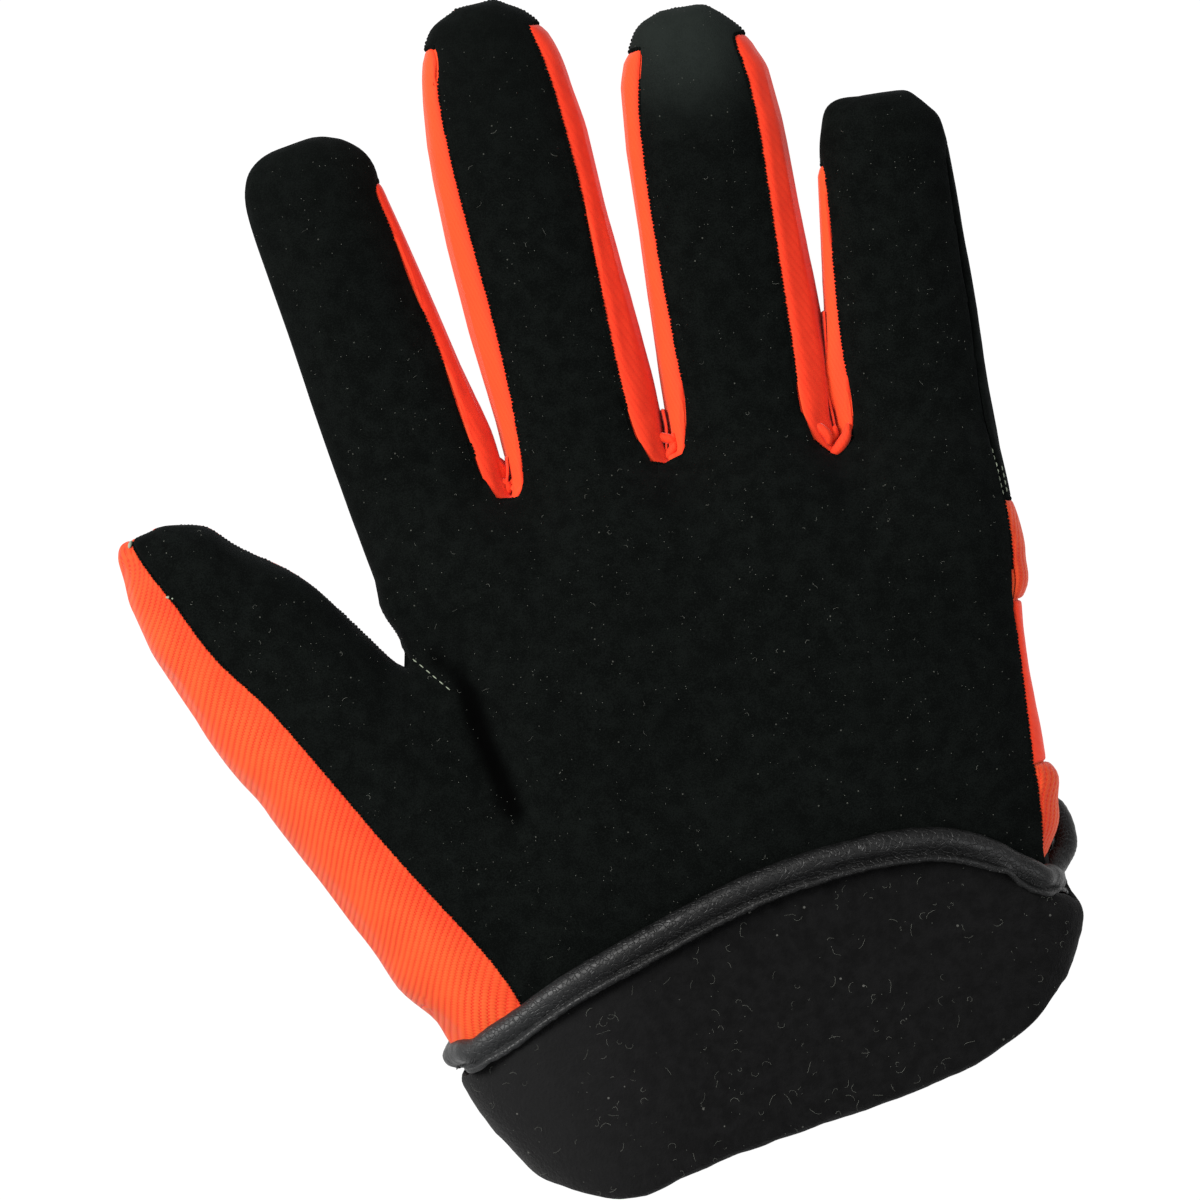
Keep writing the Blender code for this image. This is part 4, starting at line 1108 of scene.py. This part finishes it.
def suede_material():
    """Short-napped black suede with painted grey sheen towards the fingertips, painted shade in the palm's
    crease, and a few specks of lint.
    """
    if "suede" in bpy.data.materials:
        return bpy.data.materials["suede"]
    settings = bpy.context.scene.glove_cloth
    material, wire, shader = new_material("suede")
    place = wire.node("ShaderNodeTexCoord").outputs["Object"]
    nap = use_group(wire, nap_group(), Vector=place, Fibre=3800.0, Patch=300.0)
    lint = use_group(wire, specks_group(), Vector=place, Density=420.0, Size=0.06)
    mottle = wire.ramp(nap["Mottle"], 0.35, 0.7)
    shade = wire.mix(mottle, times(settings.suede, 0.92), times(settings.suede, 1.1))
    shade = wire.mix(wire.ramp(nap["Height"], 0.62, 0.95), shade, times(settings.suede, 2.4))
    shade = wire.mix(lint["Mask"], shade, (0.05, 0.052, 0.045))
    # Painted sheen: the suede is painted paler towards the fingertips, where the nap catches the light
    along = wire.node("ShaderNodeSeparateXYZ", Vector=place).outputs[1]
    ends = [on_glove(0.0, distance).y for distance in SHEEN_SPAN]
    shade = wire.mix(wire.ramp(along, *ends, 0.0, 0.4), shade, times(settings.suede, 1.6))
    painted_light = wire.node("ShaderNodeAttribute", {"attribute_name": "painted_light"}).outputs["Fac"]
    # Painted sheen at the ring fingertip, strongest on the fibres' tips
    painted_sheen = wire.math("MULTIPLY", wire.ramp(painted_light, 0.0, 1.0), wire.ramp(nap["Height"], 0.4, 0.9, 0.6, 1.0))
    shade = wire.mix(painted_sheen, shade, times(settings.suede, 7.5))
    # Painted shade: the palm's crease is darkened towards black
    shade = wire.mix(wire.ramp(painted_light, 0.0, -1.0, 0.0, 0.95), shade, (0.0, 0.0, 0.0))
    wire.feed(shader.inputs["Base Color"], shade)
    bump(wire, shader, nap["Height"], 0.12 * MM)
    plain(shader, Roughness=0.95, Sheen_Weight=0.014, Sheen_Roughness=0.45, Specular_IOR_Level=0.02)
    shader.inputs["Sheen Tint"].default_value = (0.8, 0.9, 0.95, 1.0)
    return material


def cloth_material(name, ground, groove, turn, pitch, row, depth, relief, contrast=1.0):
    """Orange cloth with ribs or twill lines that follow the cut of the cloth, with painted shade in their
    grooves.
    """
    if name in bpy.data.materials:
        return bpy.data.materials[name]
    material, wire, shader = new_material(name)
    flat = wire.node("ShaderNodeUVMap", {"uv_map": "cloth"}).outputs[0]
    place = wire.node("ShaderNodeTexCoord").outputs["Object"]
    sway = wire.node("ShaderNodeCombineXYZ", X=wire.noise(flat, 60.0)).outputs[0]
    sway = wire.node("ShaderNodeVectorMath", {"operation": "SCALE"}, Vector=sway, Scale=0.6 * MM).outputs[0]
    bent = wire.node("ShaderNodeVectorMath", {"operation": "ADD"}, i0=flat, i1=sway).outputs[0]
    ribs = use_group(wire, ribs_group(), Vector=bent, Turn=turn, Pitch=pitch, Row=row, Row_Depth=depth)
    nap = use_group(wire, nap_group(), Vector=place, Fibre=2600.0, Patch=140.0)
    # Painted shade in the grooves between the ribs and along the twill lines
    shade = wire.mix(wire.math("MULTIPLY", ribs["Groove"], contrast), ground, groove)
    painted_light = wire.node("ShaderNodeAttribute", {"attribute_name": "painted_light"}).outputs["Fac"]
    # Painted shade: below zero the cloth is mixed towards the groove colour, near the seams and on the strips'
    # sides that face away from the key light
    shade = wire.mix(wire.ramp(painted_light, 0.0, -1.0, 0.0, 0.45), shade, groove)
    # Painted light: above zero the cloth is mixed towards the paler orange, on the strips' sides that face the
    # key light
    shade = wire.mix(wire.ramp(painted_light, 0.0, 1.0, 0.0, 0.8), shade, bpy.context.scene.glove_cloth.orange)
    shade = wire.mix(wire.ramp(nap["Mottle"], 0.35, 0.75, 0.0, 0.35), shade, times(ground, 1.25))
    wire.feed(shader.inputs["Base Color"], shade)
    bump(wire, shader, wire.math("MULTIPLY_ADD", nap["Height"], 0.25, ribs["Height"]), relief)
    plain(shader, Roughness=0.75, Sheen_Weight=0.15, Sheen_Roughness=0.4, Specular_IOR_Level=0.15)
    return material


def ribbed_cloth():
    """The ribbed orange cloth of the thumb and the back."""
    s = bpy.context.scene.glove_cloth
    return cloth_material("ribbed_cloth", s.orange, s.orange_groove_shade, RIB_TURN, s.rib_pitch,
                          s.row_pitch, 0.35, 0.11 * MM)


def stretch_cloth():
    """The smooth orange cloth of the strips between the fingers and the band."""
    s = bpy.context.scene.glove_cloth
    return cloth_material("stretch_cloth", s.stretch_orange, s.orange_groove_shade, TWILL_TURN, s.twill_pitch,
                          s.row_pitch, 0.05, 0.025 * MM, 0.35)


def fleece_material():
    """Brushed black fleece: soft tufts, mottled, with specks of lint, and painted light towards its left."""
    settings = bpy.context.scene.glove_cuff
    material, wire, shader = new_material("fleece")
    place = wire.node("ShaderNodeTexCoord").outputs["Object"]
    nap = use_group(wire, nap_group(), Vector=place, Fibre=1500.0, Patch=420.0)
    lint = use_group(wire, specks_group(), Vector=place, Density=300.0, Size=0.07)
    mottle = wire.ramp(nap["Mottle"], 0.3, 0.7)
    shade = wire.mix(mottle, times(settings.fleece, 0.8), times(settings.fleece, 1.35))
    # Painted light: the fleece is painted paler towards its left, the side the key light comes from
    across = wire.node("ShaderNodeSeparateXYZ", Vector=place).outputs[0]
    left = wire.ramp(across, 5.0 * MM, -45.0 * MM, 0.0, 0.8)
    shade = wire.mix(left, shade, times(settings.fleece, 3.0))
    shade = wire.mix(lint["Mask"], shade, (0.06, 0.06, 0.055))
    wire.feed(shader.inputs["Base Color"], shade)
    bump(wire, shader, nap["Height"], 0.35 * MM)
    plain(shader, Roughness=1.0, Sheen_Weight=0.05, Sheen_Roughness=0.5, Specular_IOR_Level=0.03)
    return material


def binding_material():
    """Coated black binding with a fine leather grain, and painted light towards its left."""
    settings = bpy.context.scene.glove_cuff
    material, wire, shader = new_material("binding")
    place = wire.node("ShaderNodeTexCoord").outputs["Object"]
    cells = wire.node("ShaderNodeTexVoronoi", {"feature": "DISTANCE_TO_EDGE"}, Vector=place, Scale=1100.0)
    grain = wire.ramp(cells.outputs["Distance"], 0.0, 0.12)
    broad = wire.noise(place, 500.0, 3.0, 0.6)
    shade = wire.mix(broad, times(settings.binding, 0.8), times(settings.binding, 1.3))
    # Painted light: the roll is painted paler towards its left, the side the key light comes from
    across = wire.node("ShaderNodeSeparateXYZ", Vector=place).outputs[0]
    shade = wire.mix(wire.ramp(across, 0.0, -45.0 * MM), shade, times(settings.binding, 7.0))
    wire.feed(shader.inputs["Base Color"], shade)
    wire.feed(shader.inputs["Roughness"], wire.ramp(broad, 0.3, 0.7, 0.38, 0.52))
    bump(wire, shader, wire.math("MULTIPLY_ADD", broad, 1.2, grain), 0.07 * MM)
    plain(shader, Specular_IOR_Level=0.26)
    return material


class GLOVE_OT_suede(bpy.types.Operator):
    """Make the suede palm and knuckle panel."""

    bl_idname = "glove.suede"
    bl_label = "Suede panels"

    def execute(self, context):
        wall = context.scene.glove_cloth.suede_wall
        panels = ("palm_panel", "palm_suede", fold_palm), ("knuckle_panel", "knuckle_suede", None)
        for node, name, shape in panels:
            piece = cloth_panel(node, name, wall, 2, shape)
            palm_painted_light(piece)
            finish_piece(piece, suede_material(), "black_suede", node)
        return {"FINISHED"}


class GLOVE_OT_strips(bpy.types.Operator):
    """Make the stretch strips between the fingers, and the band across the back."""

    bl_idname = "glove.strips"
    bl_label = "Stretch strips"

    def execute(self, context):
        settings = context.scene.glove_cloth
        for node in STRIPS[:3]:
            piece = cloth_panel(node, node + "_strip", settings.stretch_wall, 3, close_gaps)
            # Painted light and shade: each strip is painted paler where it faces left, towards the key light,
            # and darker where it faces right
            paint_light(piece, -vertex_normals(piece)[:, 0])
            finish_piece(piece, stretch_cloth(), "orange_stretch_cloth", node)
        piece = cloth_panel("stretch_band", "stretch_band_cloth", settings.back_wall, 3)
        finish_piece(piece, stretch_cloth(), "orange_stretch_cloth", "stretch_band")
        return {"FINISHED"}


class GLOVE_OT_ribbed(bpy.types.Operator):
    """Make the ribbed panels round the thumb and on the back."""

    bl_idname = "glove.ribbed"
    bl_label = "Ribbed panels"

    def execute(self, context):
        wall = context.scene.glove_cloth.back_wall
        for node in RIBBED:
            lean = THUMB_MIDDLE if node == "thumb_back" else None
            piece = cloth_panel(node, node + "_cloth", wall, 3, lean=lean)
            seam_painted_shade(piece, node)
            finish_piece(piece, ribbed_cloth(), "orange_ribbed_cloth", node)
        return {"FINISHED"}


def binding_line():
    """The roll's middle and the flange's edge all round the cuff, found by slicing the binding's node."""
    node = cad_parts["cuff_binding"]
    points = coordinates(node)
    starts, stops = (points[ends] for ends in edge_ends(node.data))
    low, high = points.min(axis=0), points.max(axis=0)
    middle = (low + high) / 2.0
    width, tall = high[0] - low[0], high[2] - low[2]
    rolls, flanges = [], []
    for ring in range(SECTIONS):
        turn = 2.0 * math.pi * ring / SECTIONS
        out = np.array([width * math.cos(turn), 0.0, tall * math.sin(turn)])
        out /= np.linalg.norm(out)
        across = np.array([-out[2], 0.0, out[0]])
        first, second = (starts - middle) @ across, (stops - middle) @ across
        cut = (first * second) < 0.0
        share = (first[cut] / (first - second)[cut])[:, None]
        section = starts[cut] + share * (stops[cut] - starts[cut])
        section = section[(section - middle) @ out > 0.0]
        top, bottom = section[:, 1].max(), section[:, 1].min()
        roll = section[section[:, 1] > top - 2.0 * ROLL_RADIUS]
        reach = (roll - middle) @ out
        rolls.append(middle + out * (reach.max() + reach.min()) / 2.0)
        rolls[-1][1] = top - ROLL_RADIUS
        flanges.append(section[section[:, 1] < bottom + FLANGE_EDGE].mean(axis=0))
    smoothed = []
    for line in (np.array(rolls), np.array(flanges)):
        for _ in range(SMOOTH_ROUNDS):
            line = (np.roll(line, 1, axis=0) + 2.0 * line + np.roll(line, -1, axis=0)) / 4.0
        smoothed.append(pull_outline(line, "cuff_binding"))
    return smoothed


def sweep_binding(name):
    """The binding: a round roll with its sewn flange, swept round the cuff."""
    rolls, flanges = binding_line()
    rim = Vector(rolls.mean(axis=0))
    section = []
    for turn in np.radians(np.linspace(ROLL_ARC, -ROLL_ARC, ROLL_POINTS)):
        section.append((ROLL_RADIUS * math.cos(turn), ROLL_RADIUS * math.sin(turn), True))
    section += [(across * MM, out * MM, False) for across, out in FLANGE_SECTION]
    points, travel = [], 0.0
    for ring in range(SECTIONS):
        centre, flange = Vector(rolls[ring]), Vector(flanges[ring])
        along = Vector(rolls[(ring + 1) % SECTIONS] - rolls[ring - 1])
        travel += along.length / 2.0
        along.normalize()
        up = centre - flange
        up = (up - along * up.dot(along)).normalized()
        out = up.cross(along)
        if out.dot(centre - rim) < 0.0:
            out = -out
        stitch = STITCH_HEIGHT * abs(math.sin(math.pi * travel / STITCH_PITCH))
        end = math.cos(2.0 * math.pi * ring / SECTIONS)
        tuck = 1.0 - (RIGHT_TUCK if end > 0.0 else LEFT_TUCK) * end**TUCK_POWER
        wrinkle = WRINKLES[0] * noise.noise(Vector((travel * WRINKLES[1], 0.0, 3.0)))
        for across, height, on_roll in section:
            if not on_roll:
                across, height = (across + ROLL_RADIUS) * tuck - ROLL_RADIUS, height * tuck
            place = centre + up * across + out * height
            push = sum(rise * noise.noise(place * closeness) for rise, closeness in (FINE_GRAIN, BROAD_GRAIN))
            if on_roll:
                push += wrinkle
            elif height > 0.0:
                push += stitch
            points.append(place + (place - centre).normalized() * push)
    faces, size = [], len(section)
    for ring in range(SECTIONS):
        here, there = ring * size, (ring + 1) % SECTIONS * size
        for step in range(size):
            after = (step + 1) % size
            faces.append((here + step, here + after, there + after, there + step))
    piece = new_piece(name, points, faces)
    edit_all(piece, bpy.ops.mesh.normals_make_consistent, inside=False)
    return piece


class GLOVE_OT_cuff(bpy.types.Operator):
    """Make the turned fleece cuff and its rolled binding."""

    bl_idname = "glove.cuff"
    bl_label = "Turned cuff"

    def execute(self, context):
        settings = context.scene.glove_cuff
        lining = welded_copy("cuff_lining", "fleece_cuff")
        pair_triangles(lining)
        subdivide(lining, 2)
        points, normals = pull_outline(coordinates(lining), "cuff_lining"), vertex_normals(lining)
        tufts = slow_noise(points, BROAD_TUFTS, 3.0) + 0.5 * slow_noise(points, SMALL_TUFTS, 4.0)
        set_coordinates(lining, points + normals * (settings.pile * tufts)[:, None])
        finish_piece(lining, fleece_material(), "black_fleece", "cuff_lining")
        finish_piece(sweep_binding("rolled_binding"), binding_material(), "black_binding", "cuff_binding")
        return {"FINISHED"}


def thread_material(name, shade):
    """Plain pale thread or lint."""
    material, _, shader = new_material(name)
    plain(shader, Roughness=0.9, Specular_IOR_Level=0.1)
    shader.inputs["Base Color"].default_value = (*shade, 1.0)
    return material


def seam_tape(name, nodes, width):
    """A round tape of cloth all along the borders of these nodes' panels, a little under their faces."""
    heap = Heap()
    for node in nodes:
        for line in SEAMS[node]:
            places = [place for place, _ in walk(line, TAPE_PITCH)]
            if len(places) < TAPE_POINTS:
                continue
            places = [place + (nearest_middle(place) - place).normalized() * TAPE_SINK for place in places]
            places.append(places[0])
            heap.strand(places, [width * MM] * len(places))
    piece = heap.piece(name)
    keep_in_skin(piece, 0.0)
    lay_cloth(piece)
    return piece


def gap_folds(name):
    """The sheets that close the gaps between the fingers at their ends, and the rolls of cloth there."""
    trees = surface_trees(*(node + "_strip" for node in STRIPS[:3]))
    heap = Heap()
    for corners in GUSSETS:
        line = smooth_line(corners, 5)
        for place in line:
            place.z = SHEET_MIDDLE
        heap.strand(line, [SHEET_HALF_WALL] * len(line), SHEET_TALL, 10)
    for corners, width, lift in CROTCH_ROLLS:
        line = smooth_line(corners, 5)
        hits = [hit[0].z for hit in (top_at(trees, place) for place in line) if hit]
        for place in line:
            place.z = sum(hits) / len(hits) + lift * MM
        shares = np.linspace(ROLL_TAPER, 1.0 - ROLL_TAPER, len(line))
        heap.strand(line, [width * MM * math.sin(math.pi * share) for share in shares], ROLL_TALL, 8)
    piece = heap.piece(name)
    lay_cloth(piece)
    return piece


# Tapes in the seams: name, nodes, half width in millimetres, material and slot
TAPES = (
    ("suede_tape", BLACK_PANELS, 0.6, suede_material, "black_suede"),
    ("strip_tape", STRIPS, 0.5, stretch_cloth, "orange_stretch_cloth"),
    ("ribbed_tape", RIBBED, 0.6, ribbed_cloth, "orange_ribbed_cloth"),
)

# Puckers where panels meet: name, nodes, the nodes across the seam, half sizes (length, width and height) and
# depth in millimetres, material and slot
BOLD, FLAT = (0.37, 0.50, 0.45), (0.5, 0.45, 0.35)
PUCKERS = (
    ("suede_puckers", BLACK_PANELS, STRIPS + RIBBED, BOLD, -0.12, suede_material, "black_suede"),
    ("suede_joins", BLACK_PANELS[:1], BLACK_PANELS[1:], FLAT, 0.55, suede_material, "black_suede"),
    ("cloth_joins", STRIPS, RIBBED, FLAT, 0.55, stretch_cloth, "orange_stretch_cloth"),
)


class GLOVE_OT_sewing(bpy.types.Operator):
    """Make the tapes and puckers in the seams, and the folds where the gaps end."""

    bl_idname = "glove.sewing"
    bl_label = "Sewing"

    def execute(self, context):
        for name, nodes, width, material, slot in TAPES:
            finish_piece(seam_tape(name, nodes, width), material(), slot)
        for name, nodes, others, size, sink, material, slot in PUCKERS:
            lumps = seam_lumps(name, nodes, others, size, sink)
            if material is stretch_cloth:
                lay_cloth(lumps)
            finish_piece(lumps, material(), slot)
        finish_piece(gap_folds("crotch_folds"), stretch_cloth(), "orange_stretch_cloth")
        return {"FINISHED"}


class GLOVE_OT_stitches(bpy.types.Operator):
    """Make the pale stitches at the thumb and at the side of the knuckles."""

    bl_idname = "glove.stitches"
    bl_label = "Stitches"

    def execute(self, context):
        trees = surface_trees("palm_suede", "knuckle_suede", "thumb_back_cloth")
        heap = Heap()
        for start, end, count, span, width in STITCH_ROWS:
            a, b = on_glove(*start), on_glove(*end)
            along = (b - a).normalized()
            for number in range(count):
                middle = a.lerp(b, (number + 0.5) / count)
                line = []
                for share, _ in STITCH_POINTS:
                    hit = top_at(trees, middle + along * (share * span * MM))
                    if hit:
                        rise = STITCH_ARCH[0] - STITCH_ARCH[1] * share**2
                        line.append(hit[0] + hit[1] * (width * MM * rise))
                if len(line) == len(STITCH_POINTS):
                    heap.strand(line, [width * MM * part for _, part in STITCH_POINTS])
        thread = thread_material("pale_thread", (0.22, 0.25, 0.19))
        finish_piece(heap.piece("pale_stitches"), thread, "black_suede")
        return {"FINISHED"}


class GLOVE_OT_lint(bpy.types.Operator):
    """Scatter specks of lint and short curled hairs over the suede and the fleece."""

    bl_idname = "glove.lint"
    bl_label = "Lint"

    def execute(self, context):
        draws = random.Random(11)
        trees = surface_trees("palm_suede", "fleece_cuff", "rolled_binding")
        heaps = {name: Heap() for name in LINT_ON}
        for _ in range(context.scene.glove_cuff.lint):
            place = on_glove(draws.uniform(*LINT_ACROSS), draws.uniform(*LINT_ALONG))
            hit = top_at(trees, place)
            if not hit or hit[2] not in LINT_ON or hit[0].z < LINT_FLOOR:
                continue
            heap, (specks, hair) = heaps[hit[2]], LINT_ON[hit[2]]
            if draws.random() < specks:
                size = draws.uniform(*SPECK_SIZE) * MM
                heap.ball(hit[0] + hit[1] * size * 0.5, Vector((1.0, 0.0, 0.0)), hit[1], (size, size, size))
                continue
            heading, curl = draws.uniform(0.0, 2.0 * math.pi), draws.uniform(*HAIR_CURL)
            reach = draws.uniform(*hair) * MM / (HAIR_POINTS - 1)
            line = []
            for step in range(HAIR_POINTS):
                place = place + Vector((math.cos(heading), math.sin(heading), 0.0)) * reach
                heading += curl + draws.uniform(*HAIR_WANDER)
                under = top_at(trees, place)
                if under:
                    line.append(under[0] + under[1] * (HAIR_LIFT[0] + HAIR_LIFT[1] * step) * MM)
            if len(line) == HAIR_POINTS:
                heap.strand(line, [HAIR_HALF_WIDTH] * HAIR_POINTS, sides=3)
        shade = thread_material("lint", (0.12, 0.125, 0.11))
        finish_piece(heaps["palm_suede"].piece("palm_lint"), shade, "black_suede")
        finish_piece(heaps["fleece_cuff"].piece("fleece_lint"), shade, "black_fleece")
        return {"FINISHED"}


def area_light(name, place, width, power, tint):
    """A soft square light that faces the glove."""
    data = bpy.data.lights.new(name, "AREA")
    data.size = width
    data.energy = power
    data.color = tint
    lamp = bpy.data.objects.new(name, data)
    lamp.location = place
    lamp.rotation_euler = (-Vector(place)).to_track_quat("-Z", "Y").to_euler()
    bpy.context.scene.collection.objects.link(lamp)


def white_floor():
    """A wide pale floor that glows, so that it stays as white as paper under the glove's soft shade."""
    bpy.ops.object.select_all(action="DESELECT")
    bpy.ops.mesh.primitive_plane_add(size=6.0, location=(0.0, 0.0, 0.0))
    floor = bpy.context.object
    floor.name = "floor"
    material, _, shader = new_material("paper_white")
    plain(shader, Roughness=0.9, Specular_IOR_Level=0.0, Emission_Strength=1.0)
    shader.inputs["Base Color"].default_value = (0.04, 0.04, 0.04, 1.0)
    shader.inputs["Emission Color"].default_value = (1.0, 1.0, 1.0, 1.0)
    floor.data.materials.append(material)
    floor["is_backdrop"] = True


class GLOVE_OT_stage(bpy.types.Operator):
    """Make the floor, the lights and the camera."""

    bl_idname = "glove.stage"
    bl_label = "Stage"

    def execute(self, context):
        settings = context.scene.glove_stage
        white_floor()
        world = bpy.data.worlds.new("soft_room")
        context.scene.world = world
        world.use_nodes = True
        room = world.node_tree.nodes["Background"]
        room.inputs["Color"].default_value = (1.0, 1.0, 1.0, 1.0)
        room.inputs["Strength"].default_value = ROOM_LIGHT
        for light in LIGHTS:
            area_light(*light)
        data = bpy.data.cameras.new("camera")
        data.sensor_width = SENSOR
        data.lens = SENSOR * (settings.camera_height - GLOVE_MIDDLE) / settings.picture_width
        camera = bpy.data.objects.new("camera", data)
        centre = on_glove(*PICTURE_MIDDLE)
        camera.location = (centre.x, centre.y, settings.camera_height)
        camera.rotation_euler = (0.0, 0.0, settings.turn)
        context.scene.collection.objects.link(camera)
        context.scene.camera = camera
        context.scene.view_settings.view_transform = "Standard"
        context.scene.view_settings.look = "None"
        return {"FINISHED"}


OPERATORS = (
    GLOVE_OT_suede, GLOVE_OT_strips, GLOVE_OT_ribbed, GLOVE_OT_cuff,
    GLOVE_OT_sewing, GLOVE_OT_stitches, GLOVE_OT_lint, GLOVE_OT_stage,
)


class GLOVE_PT_panel(bpy.types.Panel):
    """Lists the glove's steps and sizes."""

    bl_idname = "GLOVE_PT_panel"
    bl_label = "Driver glove"
    bl_space_type = "VIEW_3D"
    bl_region_type = "UI"
    bl_category = "Glove"

    def draw(self, context):
        for step in OPERATORS:
            self.layout.operator(step.bl_idname)
        for settings in (context.scene.glove_cloth, context.scene.glove_cuff, context.scene.glove_stage):
            box = self.layout.box()
            for key in settings.__annotations__:
                box.prop(settings, key)


CLASSES = (GloveClothSettings, GloveCuffSettings, GloveStageSettings, *OPERATORS, GLOVE_PT_panel)


def register():
    """Adds the add-on's classes and settings."""
    for part in CLASSES:
        bpy.utils.register_class(part)
    bpy.types.Scene.glove_cloth = bpy.props.PointerProperty(type=GloveClothSettings)
    bpy.types.Scene.glove_cuff = bpy.props.PointerProperty(type=GloveCuffSettings)
    bpy.types.Scene.glove_stage = bpy.props.PointerProperty(type=GloveStageSettings)


def unregister():
    """Takes the add-on's classes and settings away."""
    del bpy.types.Scene.glove_cloth
    del bpy.types.Scene.glove_cuff
    del bpy.types.Scene.glove_stage
    for part in reversed(CLASSES):
        bpy.utils.unregister_class(part)


def main():
    """Makes the whole glove and its stage."""
    register()
    for step in OPERATORS:
        group_name, step_name = step.bl_idname.split(".")
        getattr(getattr(bpy.ops, group_name), step_name)()
    boxes = {"cad": CAD_BOX, "visual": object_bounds()}
    sizes = {name: [list(corner) for corner in box] for name, box in boxes.items()}


if __name__ == "__main__":
    main()
